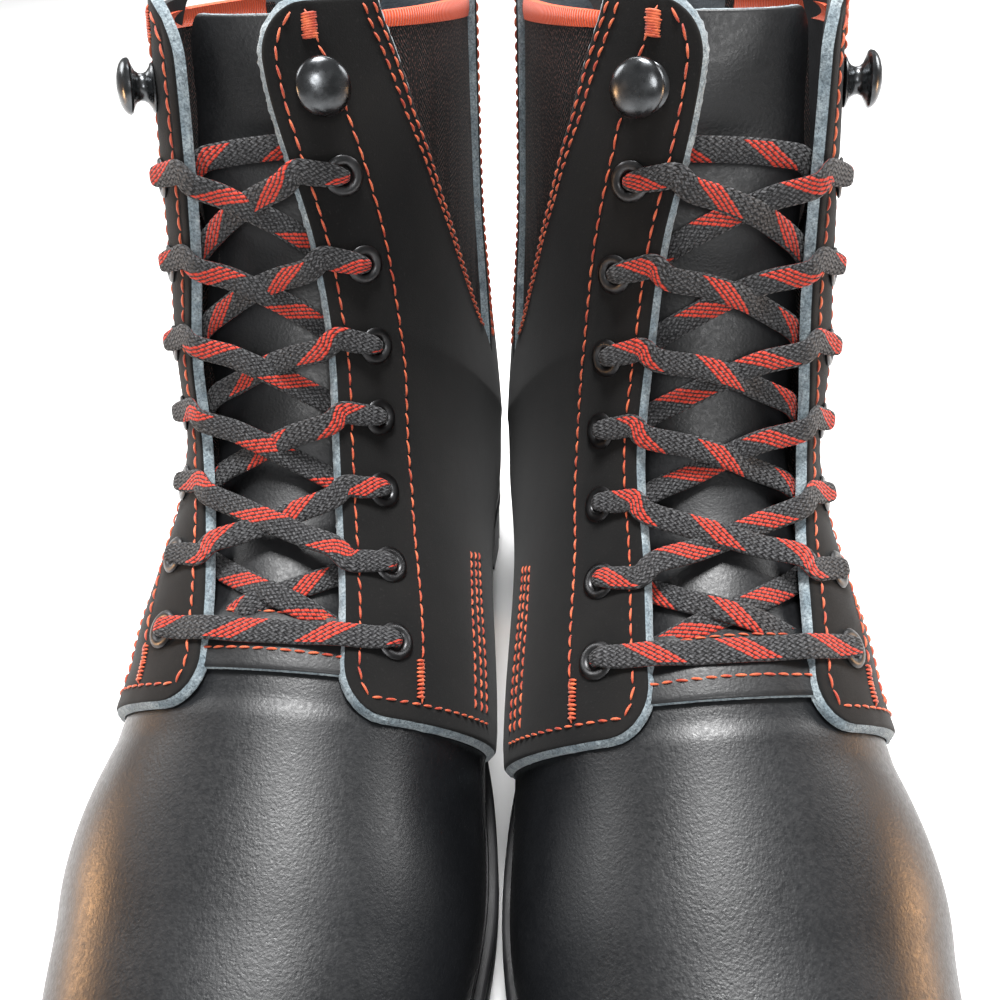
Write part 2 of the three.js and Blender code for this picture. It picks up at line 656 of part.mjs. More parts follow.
function tongueParts(boot) {
  const pointsOf = (u) => bothSides(u, boot, TONGUE_COLUMNS);
  const turn = TONGUE_TURN;
  const baseRows = UPPER_ROWS.filter((u) => u > THROAT - 1e-6 && u < turn - 0.02);
  const sheet = (rows) => panel(rows, pointsOf, tongueTop, tongueBottom);
  const [y, z] = curve(FRONT, turn);
  const [front, back] = [y - FAR, y + TONGUE_FOLD.behind];
  const cut = [[front, z], [back, z], [back + 60, z - 60 * TONGUE_FOLD.slope]];
  const above = [[back + 60, z + 60], [front, z + 60]];
  const wedge = acrossSolid([...cut, ...above], -FAR, FAR);
  const flapZone = acrossSolid([[front, z + GAP], [back + 60, z + GAP], ...above], -FAR, FAR);
  const whole = [...baseRows, turn, mix(turn, TONGUE_TOP, 0.5), TONGUE_TOP];
  return {
    tongue_base: sheet(whole).subtract(wedge),
    tongue_flap: sheet(whole).intersect(flapZone),
  };
}

// ---- eyelets, hooks ---------------------------------------------------------------------------------
function eyeletRow(boot, side) {
  const rows = UPPER_ROWS.filter((u) => u > STAY_START - 0.002 && u < STAY_END);
  const top = -QUARTER_LEATHER - GAP;
  const pointsOf = (u) => oneSide(columns(u, side, boot).slice(FACING + 1, FACING + 4), side);
  let solid = panel(rows, pointsOf, top, top - STAY_TAPE);
  const { bore, barrel, flange, proud, sides } = EYELET;
  const low = top - STAY_TAPE - 0.5 * GAP;
  const seat = 2 * GAP;
  const high = seat + proud;
  const profile = [[bore, low], [barrel, low], [barrel, seat], [flange, seat], [flange - 0.5, high],
    [bore, high], [bore, low]];
  EYELET_ROWS.forEach((u) => {
    const place = seatAt(u, eyeletAngle(u, boot, side), side, 0);
    solid = solid.subtract(pinSolid((bore + barrel) / 2, -8, 4, place, sides));
    solid = solid.add(turned(profile, sides, place));
  });
  return solid;
}

function hookPart(boot, side) {
  const { base, neck, head, height, shank, sides } = HOOK;
  const inside = -QUARTER_LEATHER - 2.5 * GAP;
  const seat = 3 * GAP;
  const place = seatAt(HOOK_ROW, eyeletAngle(HOOK_ROW, boot, side), side, 0);
  const profile = [[0, inside - 0.8], [shank + 1.5, inside - 0.8], [shank + 1.5, inside],
    [shank, inside], [shank, seat], [base, seat], [base, seat + 0.8], [neck, seat + 1.6],
    [neck, height - 2.8], [head, height - 1.8], [head - 0.8, height - 0.5], [0, height]];
  return turned(profile, sides, place);
}

// ---- laces ----------------------------------------------------------------------------------------
// A point of the lace: section, side, distance behind the facing edge, offset.
function lacePoint(boot, [u, side, behind, offset]) {
  const edge = facingEdge(u, boot, side);
  const angle = angleAt(u, Math.max(edge + behind, 0), side);
  return {
    at: shifted(u, angle, side, lift(u) + offset),
    out: normal(u, angle, side),
  };
}

// A strand: a flat section carried along its points, round where it passes an eyelet.
function strand(boot, stops) {
  const knots = stops.map((stop) => lacePoint(boot, stop));
  const path = new THREE.CatmullRomCurve3(knots.map((k) => k.at), false, "centripetal");
  const rings = [];
  knots.forEach((knot, i) => {
    const round = stops[i][4] === "round";
    const t = i / (knots.length - 1);
    const along = path.getTangent(t);
    const out = knot.out.clone().addScaledVector(along, -knot.out.dot(along)).normalize();
    if (round && Math.abs(knot.out.dot(along)) > 0.7) out.set(0, 0, 1).cross(along).normalize();
    const across = out.clone().cross(along).normalize();
    rings.push({ at: knot.at, out, across, round });
  });
  return tube(rings);
}

// A closed tube through rings that each have a place and two axes.
function tube(rings) {
  const { half, thick, round, sides } = LACE;
  const points = [];
  let before = null;
  rings.forEach((ring) => {
    let { out, across } = ring;
    if (before && before.across.dot(across) < 0) {
      out = out.clone().negate();
      across = across.clone().negate();
    }
    before = { across };
    const [w, h] = ring.round ? [round, round] : [half, thick];
    for (let k = 0; k < sides; k += 1) {
      const a = (2 * Math.PI * (k + 0.5)) / sides;
      points.push(
        ring.at.clone().addScaledVector(across, w * Math.cos(a)).addScaledVector(out, h * Math.sin(a)),
      );
    }
  });
  const n = rings.length;
  const faces = [];
  for (let i = 0; i + 1 < n; i += 1)
    for (let k = 0; k < sides; k += 1) {
      const [a, b] = [i * sides + k, i * sides + ((k + 1) % sides)];
      faces.push(a, b, b + sides, a, b + sides, a + sides);
    }
  for (let k = 1; k + 1 < sides; k += 1) {
    faces.push(0, k + 1, k);
    const end = (n - 1) * sides;
    faces.push(end, end + k, end + k + 1);
  }
  const geometry = new THREE.BufferGeometry();
  const array = new Float32Array(points.flatMap((p) => [p.x, p.y, p.z]));
  geometry.setAttribute("position", new THREE.BufferAttribute(array, 3));
  geometry.setIndex(faces);
  const solid = solidFrom(geometry);
  if (solid.volume() > 0) return solid;
  for (let i = 0; i < faces.length; i += 3) [faces[i], faces[i + 1]] = [faces[i + 1], faces[i]];
  geometry.setIndex(faces);
  return solidFrom(geometry);
}

const OVER = GAP + 2.8; // middle of a lace that lies on a facing
const UNDER = -6; // middle of a lace behind a facing
const intoEyelet = (u, side, sign = 1) => {
  const list = [
    [u, side, EYELET_INSET - 1.2, OVER + 0.4, "flat"],
    [u, side, EYELET_INSET, 2.2, "round"],
    [u, side, EYELET_INSET, -4.9, "round"],
    [u, side, EYELET_INSET - 1.5, UNDER, "flat"],
  ];
  return sign > 0 ? list : list.reverse();
};

// Across the gap from one side to the other, between two depths.
function crossing(u0, u1, side, depth0, depth1) {
  const share = (t) => mix(u0, u1, t);
  return [
    [share(0.2), side, 3, depth0, "flat"],
    [share(0.27), side, -2, depth0, "flat"],
    [share(0.5), side, -60, mix(depth0, depth1, 0.5) - 1.2, "flat"],
    [share(0.73), -side, -2, depth1, "flat"],
    [share(0.8), -side, 3, depth1, "flat"],
  ];
}

// One half of the lace, from the first bar's middle up to its tucked end.
function laceHalf(boot, first) {
  const rows = EYELET_ROWS;
  let side = first;
  const stops = [
    [rows[0], -side, -60, OVER - 2.2, "flat"],
    [rows[0], side, -4, OVER - 0.3, "flat"],
    [rows[0], side, 2, OVER, "flat"],
    ...intoEyelet(rows[0], side),
    ...crossing(rows[0], rows[1], side, UNDER, UNDER),
    ...intoEyelet(rows[1], -side, -1),
    ...crossing(rows[1], rows[2], -side, OVER, OVER),
    ...intoEyelet(rows[2], side),
  ];
  for (let i = 2; i + 1 < EYELETS; i += 1) {
    stops.push(...crossing(rows[i], rows[i + 1], side, UNDER, OVER));
    side = -side;
    stops.push(...intoEyelet(rows[i + 1], side));
  }
  return { stops, side };
}

function laceParts(boot) {
  const top = EYELET_ROWS[EYELETS - 1];
  const step = HOOK_ROW - top;
  const parts = {};
  let solid = null;
  [1, -1].forEach((first) => {
    const { stops, side } = laceHalf(boot, first);
    const tuck = side < 0 ? 13 : 5;
    if (side < 0)
      stops.push(
        [top + step * 0.25, -1, 5, UNDER, "flat"], [top + step * 0.3, -1, -3, UNDER, "flat"],
        [top + step * 0.32, -1, -60, UNDER - 0.4, "flat"], [top + step * 0.34, 1, -3, UNDER, "flat"],
        [top + step * 0.36, 1, EYELET_INSET + 6, UNDER - 0.4, "flat"],
      );
    const down = [0, -0.3, -0.8, -1.4, -2].map((k, i) => [
      top + step * k, 1, EYELET_INSET + tuck + i * 0.8, UNDER - 0.6, "round",
    ]);
    stops.push(...down);
    const piece = strand(boot, stops);
    solid = solid ? solid.add(piece) : piece;
    const [a, b] = [down[3], down[4]].map((stop) => lacePoint(boot, stop).at);
    const along = b.clone().sub(a).normalize();
    const start = b.clone().addScaledVector(along, GAP);
    const turn = new THREE.Quaternion().setFromUnitVectors(new THREE.Vector3(0, 1, 0), along);
    const place = new THREE.Matrix4().compose(start, turn, new THREE.Vector3(1, 1, 1));
    parts[side < 0 ? "aglet_outer" : "aglet_inner"] = pinSolid(AGLET.radius, 0, AGLET.length, place, 8);
  });
  return { lace: solid, ...parts };
}

// ---- finishes -------------------------------------------------------------------------------------
const FINISHES = {
  rubber: [0x17181a, 0.75, 0],
  smooth_leather: [0x1b1c1f, 0.38, 0],
  nubuck: [0x141416, 0.85, 0],
  board: [0xb09a74, 0.9, 0],
  cork: [0x8a6a45, 0.95, 0],
  steel: [0x8c8f93, 0.35, 1],
  foam: [0x2b2d33, 0.95, 0],
  elastic: [0x1b1617, 0.9, 0],
  gunmetal: [0x33363a, 0.35, 0.9],
  braid: [0x2a2b2e, 0.9, 0],
  plastic: [0x101010, 0.4, 0],
};
const FINISH_OF = {
  outsole: "rubber", heel_block: "rubber", midsole: "rubber", welt: "rubber",
  insole_board: "board", cork_filler: "cork", footbed: "foam", shank: "steel",
  toe_puff: "board", heel_counter: "board", vamp: "smooth_leather", quarter: "nubuck",
  backstay: "nubuck", gore: "elastic", tongue: "smooth_leather", eyelets: "gunmetal",
  hook: "gunmetal", lace: "braid", aglet: "plastic",
};

function finishFor(name) {
  const key = Object.keys(FINISH_OF).find((k) => name === k || name.startsWith(`${k}_`));
  const [color, roughness, metalness] = FINISHES[FINISH_OF[key]];
  return new THREE.MeshStandardMaterial({ color, roughness, metalness });
}

// ---- assembly -------------------------------------------------------------------------------------
function bootGroup(boot) {
  const group = new THREE.Group();
  const parts = {
    ...soleParts(),
    toe_puff: toePuff(boot),
    heel_counter: heelCounter(boot),
    vamp: vampPart(boot),
    quarter_inner: quarterPart(boot, 1),
    quarter_outer: quarterPart(boot, -1),
    backstay: backstayPart(),
    gore_inner: gorePart(boot, 1),
    gore_outer: gorePart(boot, -1),
    ...tongueParts(boot),
    eyelets_inner: eyeletRow(boot, 1),
    eyelets_outer: eyeletRow(boot, -1),
    hook_inner: hookPart(boot, 1),
    hook_outer: hookPart(boot, -1),
    ...laceParts(boot),
  };
  Object.entries(parts).forEach(([name, solid]) => {
    const mesh = new THREE.Mesh(geometryFrom(solid), finishFor(name));
    mesh.name = `${boot}_${name}`;
    group.add(mesh);
  });
  return group;
}

const right = bootGroup("right");
right.position.set(-BOOT_X, 0, 0);
right.rotation.z = THREE.MathUtils.degToRad(-TOE_OUT);

const left = bootGroup("left");
left.position.set(BOOT_X, -LEFT_AHEAD, 0);
left.rotation.z = THREE.MathUtils.degToRad(TOE_OUT);
left.scale.x = -1;

// The origin is at the bottom centre of the pair's box.
const pair = new THREE.Group();
pair.add(right, left);
const extent = new THREE.Box3().setFromObject(pair);
const middle = extent.getCenter(new THREE.Vector3());
pair.position.set(-middle.x, -middle.y, -extent.min.z);

const group = new THREE.Group();
group.add(pair);

export default group;
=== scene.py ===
"""Looks of a pair of lace-up leather fire boots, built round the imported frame.

Lengths are in millimetres in each boot's own frame (toe towards -Y, the wearer's inner side towards +X) and
become metres in the shared frame when a piece is placed.
"""
import json
import math

import bpy
import numpy as np
from mathutils import Matrix, Vector


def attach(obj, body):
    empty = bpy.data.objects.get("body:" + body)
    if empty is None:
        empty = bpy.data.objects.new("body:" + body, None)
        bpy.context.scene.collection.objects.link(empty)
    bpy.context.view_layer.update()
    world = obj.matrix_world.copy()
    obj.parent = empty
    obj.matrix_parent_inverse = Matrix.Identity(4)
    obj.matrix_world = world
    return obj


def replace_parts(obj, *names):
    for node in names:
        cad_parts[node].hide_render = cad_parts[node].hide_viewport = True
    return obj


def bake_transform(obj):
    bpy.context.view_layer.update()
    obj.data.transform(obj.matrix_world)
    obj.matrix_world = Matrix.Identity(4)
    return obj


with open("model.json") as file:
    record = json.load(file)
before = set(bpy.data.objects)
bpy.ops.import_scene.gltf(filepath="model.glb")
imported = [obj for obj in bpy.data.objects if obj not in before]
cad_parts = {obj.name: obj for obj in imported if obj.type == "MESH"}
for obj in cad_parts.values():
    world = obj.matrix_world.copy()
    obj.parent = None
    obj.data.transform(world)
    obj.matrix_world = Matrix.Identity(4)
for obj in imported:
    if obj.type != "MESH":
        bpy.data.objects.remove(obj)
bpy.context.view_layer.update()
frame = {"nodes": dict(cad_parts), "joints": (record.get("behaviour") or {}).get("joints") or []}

MM = 0.001
BOOTS = ("right", "left")
SIDES = {"inner": 1, "outer": -1}
SIDE_NAME = {1: "inner", -1: "outer"}
UP = np.array([0, 0, 1.0])
chance = np.random.default_rng(7)

# ---- camera ------------------------------------------------------------------------------------
CAMERA = {"place": (7.4, -178.2, 240.0), "target": (1.0, -3.9, 108.3), "lens": 32.72, "roll": -1.6}


def add_camera():
    """The camera looks down the fronts of both boots."""
    place, target = Vector(CAMERA["place"]) * MM, Vector(CAMERA["target"]) * MM
    ahead = (target - place).normalized()
    right = ahead.cross(Vector((0, 0, 1))).normalized()
    up = right.cross(ahead)
    c, s = math.cos(math.radians(CAMERA["roll"])), math.sin(math.radians(CAMERA["roll"]))
    right, up = right * c + up * s, up * c - right * s
    data = bpy.data.cameras.new("camera")
    data.sensor_width = 36
    data.lens = CAMERA["lens"]
    data.clip_start = 0.01
    camera = bpy.data.objects.new("camera", data)
    bpy.context.scene.collection.objects.link(camera)
    camera.matrix_world = Matrix.Translation(place) @ Matrix((right, up, -ahead)).transposed().to_4x4()
    bpy.context.scene.camera = camera


add_camera()

# ---- the boot's lines ----------------------------------------------------------------------------
TOE_Y = -146
LAST_LENGTH = 284
HEEL_SECTION = 0.62
COLLAR = 0.905
QUARTER_START = 0.291
VAMP_TOP = -2.9
QUARTER_LEATHER = 2.6
TONGUE_TURN = 0.8
TONGUE_FOLD_BEHIND = 13
CORNER = 11
EYELETS = 7
THROAT = 0.308
FIRST_EYELET = 9.3
EYELET_PITCH = 17.8
HOOK_STEP = 17
EYELET_INSET = 11.2
WELT_REACH = 5.5
WELT_THICK = 2.7
GAP = 0.3
SKIN_RUN = 330  # millimetres of skin in one unit of section
ROW_RUN = 340  # the same, for the spacing of rows close to a cut edge
TOE_START = 0.0003  # first section with any width
VAMP_THICK = 2.2
VAMP_STOP = 0.345
SEAM_INSET = 3.1  # first facing seam behind the facing's edge
ROW_STEP = 0.0042  # sections between rows of the quarters and the tongue
STAY_START, STAY_INSET, STAY_WIDE, STAY_THICK = 0.312, 1.3, 23, 1.1
GORE_OVERLAP = 5.5  # how far the elastic goes behind the leather
GORE_SPAN, GORE_THICK = (0.645, 0.889), 1.2  # sections, millimetres
BAND_SPAN, BAND_THICK = (0.881, 0.8925), 2.2
GUSSET_SPAN, GUSSET_THICK = (0.335, 0.7), 0.8
BACKSTAY_HALF, BACKSTAY_START = 11.0, 0.6203
MIDSOLE_THICK = 3.2
SOLE_JOINT = 0.1  # glue line between the sole's layers
TREAD_DEPTH = 4.0

# Front line: section, y, z. Back line above the heel seat: section, y, z.
FRONT = [
    [0, -146, 26], [0.035, -148, 41], [0.08, -140, 58], [0.13, -122, 66], [0.2, -94, 74],
    [0.27, -65, 84], [0.34, -39, 96], [0.44, -15, 113], [0.53, -1, 131], [0.62, 9, 149],
    [0.72, 16, 171], [0.82, 21, 192], [0.905, 25, 210],
]
BACK = [
    [0.62, 138, 30], [0.655, 141, 52], [0.7, 139, 84], [0.76, 131, 122], [0.82, 129, 158],
    [0.87, 130, 186], [0.905, 132, 206],
]
FEATHER = [[0, 26], [0.12, 21], [0.3, 18], [0.45, 20], [0.62, 26], [0.8, 30], [1, 30]]
TREAD = [[0, 8], [0.08, 2.5], [0.16, 0], [0.5, 0], [0.6, 12], [0.68, 17.1], [1, 17.1]]
# Half widths at the feather line: share of the length, inner and outer.
INNER_EDGE = [
    [0, 36], [0.1, 38.5], [0.2, 42], [0.3, 43.8], [0.4, 40.5], [0.5, 34], [0.6, 29.5], [0.7, 28],
    [0.8, 29], [0.9, 30], [1, 30],
]
OUTER_EDGE = [
    [0, 31], [0.1, 35], [0.2, 40.5], [0.3, 46], [0.38, 48], [0.5, 45], [0.6, 40.5], [0.7, 36.5],
    [0.8, 34.5], [0.9, 32.5], [1, 32.5],
]
# Greatest half widths over the instep and of the shaft: section, inner, outer.
INSTEP = [[0, 50, 52], [0.2, 48, 50], [0.3, 44.5, 46], [0.4, 42, 39], [0.5, 42, 34], [0.62, 44, 31]]
SHAFT = [[0.62, 44, 31], [0.7, 43, 28.5], [0.8, 41.5, 26], [0.905, 39.5, 24]]
SQUARE = [[0, 0.1, 0.1], [0.2, 0.1, 0.1], [0.4, 0.2, 0.45], [0.6, 0.3, 0.65], [1, 0.3, 0.6]]
TURN = [
    [0, 0, 0], [0.2, 0, 0], [0.3, -2, 0], [0.4, -5, 0], [0.55, -8, 0], [0.75, -9, 1], [0.905, -9, 5],
]
LEAN_MOST, LEAN_FROM, LEAN_TO = -4, 40, 150
# The gore's notch seen from the side, by height: z, y of its front edge and of its back edge.
NOTCH = [[104, 77.5, 77.5], [110, 74.5, 80.5], [122, 66, 84], [140, 57, 87], [163, 47, 90],
         [184, 41, 91.5], [205, 38, 92.3], [240, 37, 93]]
# Facing edges: section, distance from the front line.
FACINGS = {
    "right_inner": [[0.29, 19.5], [0.45, 19.5], [0.59, 20], [0.69, 16.8], [0.75, 13.5], [0.83, 9.5],
                    [1, 9.5]],
    "right_outer": [[0.29, 11], [0.35, 12.5], [0.45, 16.5], [0.55, 18.5], [0.7, 14], [0.83, 12],
                    [1, 12]],
    "left_inner": [[0.29, 19], [0.38, 20.7], [0.5, 25], [0.6, 23.2], [0.7, 19.8], [0.76, 16.5],
                   [0.83, 13.7], [1, 13.5]],
    "left_outer": [[0.29, 14.5], [0.34, 16.2], [0.4, 17.7], [0.48, 20.5], [0.6, 17.5], [0.7, 17],
                   [1, 17]],
}
TONGUE_LOW = {"right": 0.31, "left": 0.306}  # section of the tongue's lower edge


def mix(a, b, t):
    """Straight blend from a to b."""
    return a + (b - a) * t


def ease(a, b, v):
    """Smooth step from 0 at a to 1 at b."""
    t = np.clip((np.asarray(v, float) - a) / (b - a), 0, 1)
    return t * t * (3 - 2 * t)


def curve(table, t):
    """Cubic Hermite curve through a table's rows, with three-point slopes."""
    rows = np.asarray(table, float)
    x, y = rows[:, 0], rows[:, 1:]
    grade = np.diff(y, axis=0) / np.diff(x)[:, None]
    slope = np.empty_like(y)
    slope[0], slope[-1] = grade[0], grade[-1]
    before, after = np.diff(x)[:-1, None], np.diff(x)[1:, None]
    slope[1:-1] = (grade[:-1] * after + grade[1:] * before) / (before + after)
    t = np.asarray(t, float)
    i = np.clip(np.searchsorted(x, t, side="right") - 1, 0, len(x) - 2)
    step = (x[i + 1] - x[i])[..., None]
    s = (t[..., None] - x[i][..., None]) / step
    return (
        (2 * s**3 - 3 * s**2 + 1) * y[i] + (s**3 - 2 * s**2 + s) * step * slope[i]
        + (-2 * s**3 + 3 * s**2) * y[i + 1] + (s**3 - s**2) * step * slope[i + 1]
    )


def lines(table, t, column=1):
    """Straight lines through a table's rows."""
    rows = np.asarray(table, float)
    return np.interp(t, rows[:, 0], rows[:, column])


def run_of(points):
    """Distance gone at each point of a path: running sum of the straight steps."""
    return np.concatenate([[0], np.cumsum(np.linalg.norm(np.diff(points, axis=0), axis=1))])


def read_rows(x, known, rows):
    """Straight-line reading of every column of rows at x."""
    return np.stack([np.interp(x, known, rows[:, k]) for k in range(rows.shape[1])], -1)


def unit(v):
    """Vectors scaled to length one."""
    return v / (np.linalg.norm(v, axis=-1, keepdims=True) + 1e-12)


def outline(share, side):
    """Half width of the foot at a share of its length: a curve rounded in by powers at toe and heel."""
    toe, heel, toe_power, heel_power = 0.2, 0.13, 2.3, 2.2
    a = np.clip((toe - share) / toe, 0, 1)
    b = np.clip((share - (1 - heel)) / heel, 0, 1)
    rounded = (1 - a**toe_power) ** (1 / toe_power) * (1 - b**heel_power) ** (1 / heel_power)
    return curve(INNER_EDGE if side > 0 else OUTER_EDGE, share)[..., 0] * rounded


def section(u, side):
    """A section's front and back points, its greatest half width and the angle at its end."""
    u = np.asarray(u, float)
    along = np.clip(u / HEEL_SECTION, 0, 1)
    share = (1 - np.cos(np.pi * along)) / 2
    on_foot = u <= HEEL_SECTION
    seat = np.stack([TOE_Y + LAST_LENGTH * share, curve(FEATHER, share)[..., 0]], -1)
    back = np.where(on_foot[..., None], seat, curve(BACK, u))
    foot = np.where(on_foot, outline(share, side), 0)
    column = 0 if side > 0 else 1
    bulge = 4 * np.sqrt(np.clip(u / 0.05, 0, 1))
    instep = curve(INSTEP, np.clip(u, 0, HEEL_SECTION))[..., column]
    width = np.where(on_foot, mix(foot + bulge, instep, np.clip((u - 0.2) / 0.1, 0, 1)),
                     curve(SHAFT, u)[..., column])
    widest = np.maximum(width, foot + 0.5)
    end = np.pi - np.arcsin(np.clip(foot / widest, 0, 1))
    return curve(FRONT, u), back, widest, end


def surface(u, angle, side):
    """The boot's skin: an arc from the front line round to the section's end, leaning outwards."""
    front, back, widest, end = section(u, side)
    across = (1 - np.cos(angle)) / (1 - np.cos(end))
    square = curve(SQUARE, u)[..., 0 if side > 0 else 1] * np.clip(np.cos(angle), 0, 1) ** 2
    y = mix(front[..., 0], back[..., 0], across)
    z = mix(front[..., 1], back[..., 1], across)
    turn = curve(TURN, u)
    x = side * widest * np.sin(angle) * (1 + square) + mix(turn[..., 0], turn[..., 1], across)
    return np.stack([x + LEAN_MOST * ease(LEAN_FROM, LEAN_TO, z), y, z], -1)


def normal(u, angle, side):
    """Outward unit normal: the cross product of the skin's two tangents."""
    e = 1e-3
    u0, u1 = np.maximum(u - e, 0.004), np.minimum(u + e, COLLAR)
    a = np.clip(angle, 2 * e, np.pi - 2 * e)
    up = surface(u1, a, side) - surface(u0, a, side)
    around = surface(u, a + e, side) - surface(u, a - e, side)
    n = np.cross(around, up) * side
    return n / np.linalg.norm(n, axis=-1, keepdims=True)


SECTIONS = np.linspace(TOE_START, COLLAR, 421)
TAPE = np.linspace(0, 230, 461)  # distances round a section


def measure(side):
    """Angle at each distance round each section, and each section's whole length."""
    share = np.linspace(0, 1, 161)
    end = section(SECTIONS, side)[3]
    angles = end[:, None] * share
    points = surface(np.repeat(SECTIONS[:, None], len(share), 1), angles, side)
    gone = np.cumsum(np.linalg.norm(np.diff(points, axis=1), axis=-1), axis=1)
    gone = np.concatenate([np.zeros((len(SECTIONS), 1)), gone], 1)
    table = np.stack([np.interp(TAPE, g, a) for g, a in zip(gone, angles)])
    return table, gone[:, -1]


ROUND = {side: measure(side) for side in (1, -1)}


def angle_at(u, distance, side):
    """Bilinear reading of the angle at a distance round a section."""
    table = ROUND[side][0]
    r = np.clip((u - SECTIONS[0]) / (SECTIONS[1] - SECTIONS[0]), 0, len(SECTIONS) - 1.001)
    c = np.clip(distance / (TAPE[1] - TAPE[0]), 0, len(TAPE) - 1.001)
    i, j = r.astype(int), c.astype(int)
    fr, fc = r - i, c - j
    low = mix(table[i, j], table[i, j + 1], fc)
    high = mix(table[i + 1, j], table[i + 1, j + 1], fc)
    return mix(low, high, fr)


def reach_at(u, side):
    """Distance round a section from the front line to its end."""
    return np.interp(u, SECTIONS, ROUND[side][1])


def lift(u):
    """The quarters lie over the vamp at the instep and sink to the skin up the shaft."""
    return -VAMP_TOP * (1 - ease(0.3, 0.44, u))


def section_above(start, distance):
    """The section at a distance along the front line above another section."""
    u = np.linspace(start, COLLAR, 1200)
    points = curve(FRONT, u)
    return float(np.interp(distance, run_of(points), u))


EYELET_ROWS = [section_above(THROAT, FIRST_EYELET + EYELET_PITCH * i) for i in range(EYELETS)]
HOOK_ROW = section_above(EYELET_ROWS[-1], HOOK_STEP)


def fold_joint(boot):
    """The frame's record of a boot's tongue fold."""
    return next(j for j in frame["joints"] if j["name"] == f"{boot}_tongue_fold")


def boot_frame(boot):
    """A boot's origin and directions, read back from its tongue's fold in the frame."""
    joint = fold_joint(boot)
    across = np.array(joint["axis"], float)
    along = np.array([-across[1], across[0], 0])
    fold = curve(FRONT, np.array(TONGUE_TURN))
    origin = np.array(joint["pos_m"], float) - along * (fold[0] + TONGUE_FOLD_BEHIND) * MM
    origin[2] = 0
    return origin, across * (1 if boot == "right" else -1), along


FRAMES = {boot: boot_frame(boot) for boot in BOOTS}


def place(boot, points):
    """Boot millimetres to shared metres."""
    origin, across, along = FRAMES[boot]
    p = np.asarray(points, float) * MM
    return origin + p[..., :1] * across + p[..., 1:2] * along + p[..., 2:] * UP


def direction(boot, vectors):
    """Boot directions to shared directions: the turn of place without its move."""
    _, across, along = FRAMES[boot]
    return vectors[..., :1] * across + vectors[..., 1:2] * along + vectors[..., 2:] * UP


def skin(u, s, offset):
    """Points and normals at sections u and signed distances s from the front line (inner side positive)."""
    u, s, offset = np.broadcast_arrays(*[np.asarray(v, float) for v in (u, s, offset)])
    points, out = np.empty(u.shape + (3,)), np.empty(u.shape + (3,))
    for side in (1, -1):
        here = (s >= 0) if side > 0 else (s < 0)
        if here.any():
            a = angle_at(u[here], np.abs(s[here]), side)
            n = normal(u[here], a, side)
            points[here] = surface(u[here], a, side) + n * (lift(u[here]) + offset[here])[..., None]
            out[here] = n
    return points, out


def facing(boot, side, u):
    """Distance from the front line to a facing's edge."""
    return curve(FACINGS[f"{boot}_{SIDE_NAME[side]}"], np.maximum(u, QUARTER_START))[..., 0]


def facing_cut(boot, side, u):
    """The facing's edge with its rounded bottom and top corners."""
    here = curve(FRONT, u)
    ends = [curve(FRONT, np.array(e)) for e in (QUARTER_START, COLLAR)]
    near = np.minimum(*[np.linalg.norm(here - e, axis=-1) for e in ends])
    t = np.clip((CORNER - near) / CORNER, 0, 1)
    return facing(boot, side, u) + CORNER * (1 - np.sqrt(1 - t * t)) * 0.9


# ---- meshes ----------------------------------------------------------------------------------------
def grid_quads(rows, cols, wrap=False):
    """Quads of a grid of points stored row by row; wrap joins the last column to the first."""
    r, c = np.meshgrid(np.arange(rows - 1), np.arange(cols if wrap else cols - 1), indexing="ij")
    n = (c + 1) % cols
    return np.stack([r * cols + c, r * cols + n, (r + 1) * cols + n, (r + 1) * cols + c], -1).reshape(-1, 4)


def signed_volume(points, faces):
    """Sum of the volumes that the faces' triangles span with the origin, negative if inside out."""
    total = 0.0
    for block in faces:
        a = points[block[:, 0]]
        for k in range(1, block.shape[1] - 1):
            b, c = points[block[:, k]], points[block[:, k + 1]]
            total += float(np.einsum("ij,ij->", a, np.cross(b, c)))
    return total / 6


def piece(name, body, points, faces, materials, face_slots=None, uv=None, crease=40):
    """A mesh from whole arrays, turned the right way out, smooth with creases, riding on its body."""
    faces = [np.asarray(f, int) for f in faces if len(f)]
    if signed_volume(points, faces) < 0:
        faces = [f[:, ::-1] for f in faces]
    mesh = bpy.data.meshes.new(name)
    loops = np.concatenate([f.ravel() for f in faces])
    sizes = np.concatenate([np.full(len(f), f.shape[1]) for f in faces])
    mesh.vertices.add(len(points))
    mesh.vertices.foreach_set("co", np.ascontiguousarray(points, np.float32).ravel())
    mesh.loops.add(len(loops))
    mesh.loops.foreach_set("vertex_index", loops.astype(np.int32))
    mesh.polygons.add(len(sizes))
    mesh.polygons.foreach_set("loop_start", np.concatenate([[0], np.cumsum(sizes)[:-1]]).astype(np.int32))
    for m in materials:
        mesh.materials.append(m)
    if face_slots is not None:
        mesh.polygons.foreach_set("material_index", np.asarray(face_slots, np.int32))
    mesh.update(calc_edges=True)
    mesh.polygons.foreach_set("use_smooth", np.ones(len(sizes), bool))
    if uv is not None:
        layer = mesh.uv_layers.new(name="UVMap")
        layer.data.foreach_set("uv", np.ascontiguousarray(uv[loops], np.float32).ravel())
    mesh.set_sharp_from_angle(angle=math.radians(crease))
    thing = bpy.data.objects.new(name, mesh)
    bpy.context.scene.collection.objects.link(thing)
    if body:
        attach(thing, body)
    return thing


def open_edges(quads, count):
    """Directed edges that only one face has."""
    edges = np.concatenate([quads[:, [0, 1]], quads[:, [1, 2]], quads[:, [2, 3]], quads[:, [3, 0]]])
    edges = edges[edges[:, 0] != edges[:, 1]]
    key, back = edges[:, 0] * count + edges[:, 1], edges[:, 1] * count + edges[:, 0]
    return edges[~np.isin(key, back)]


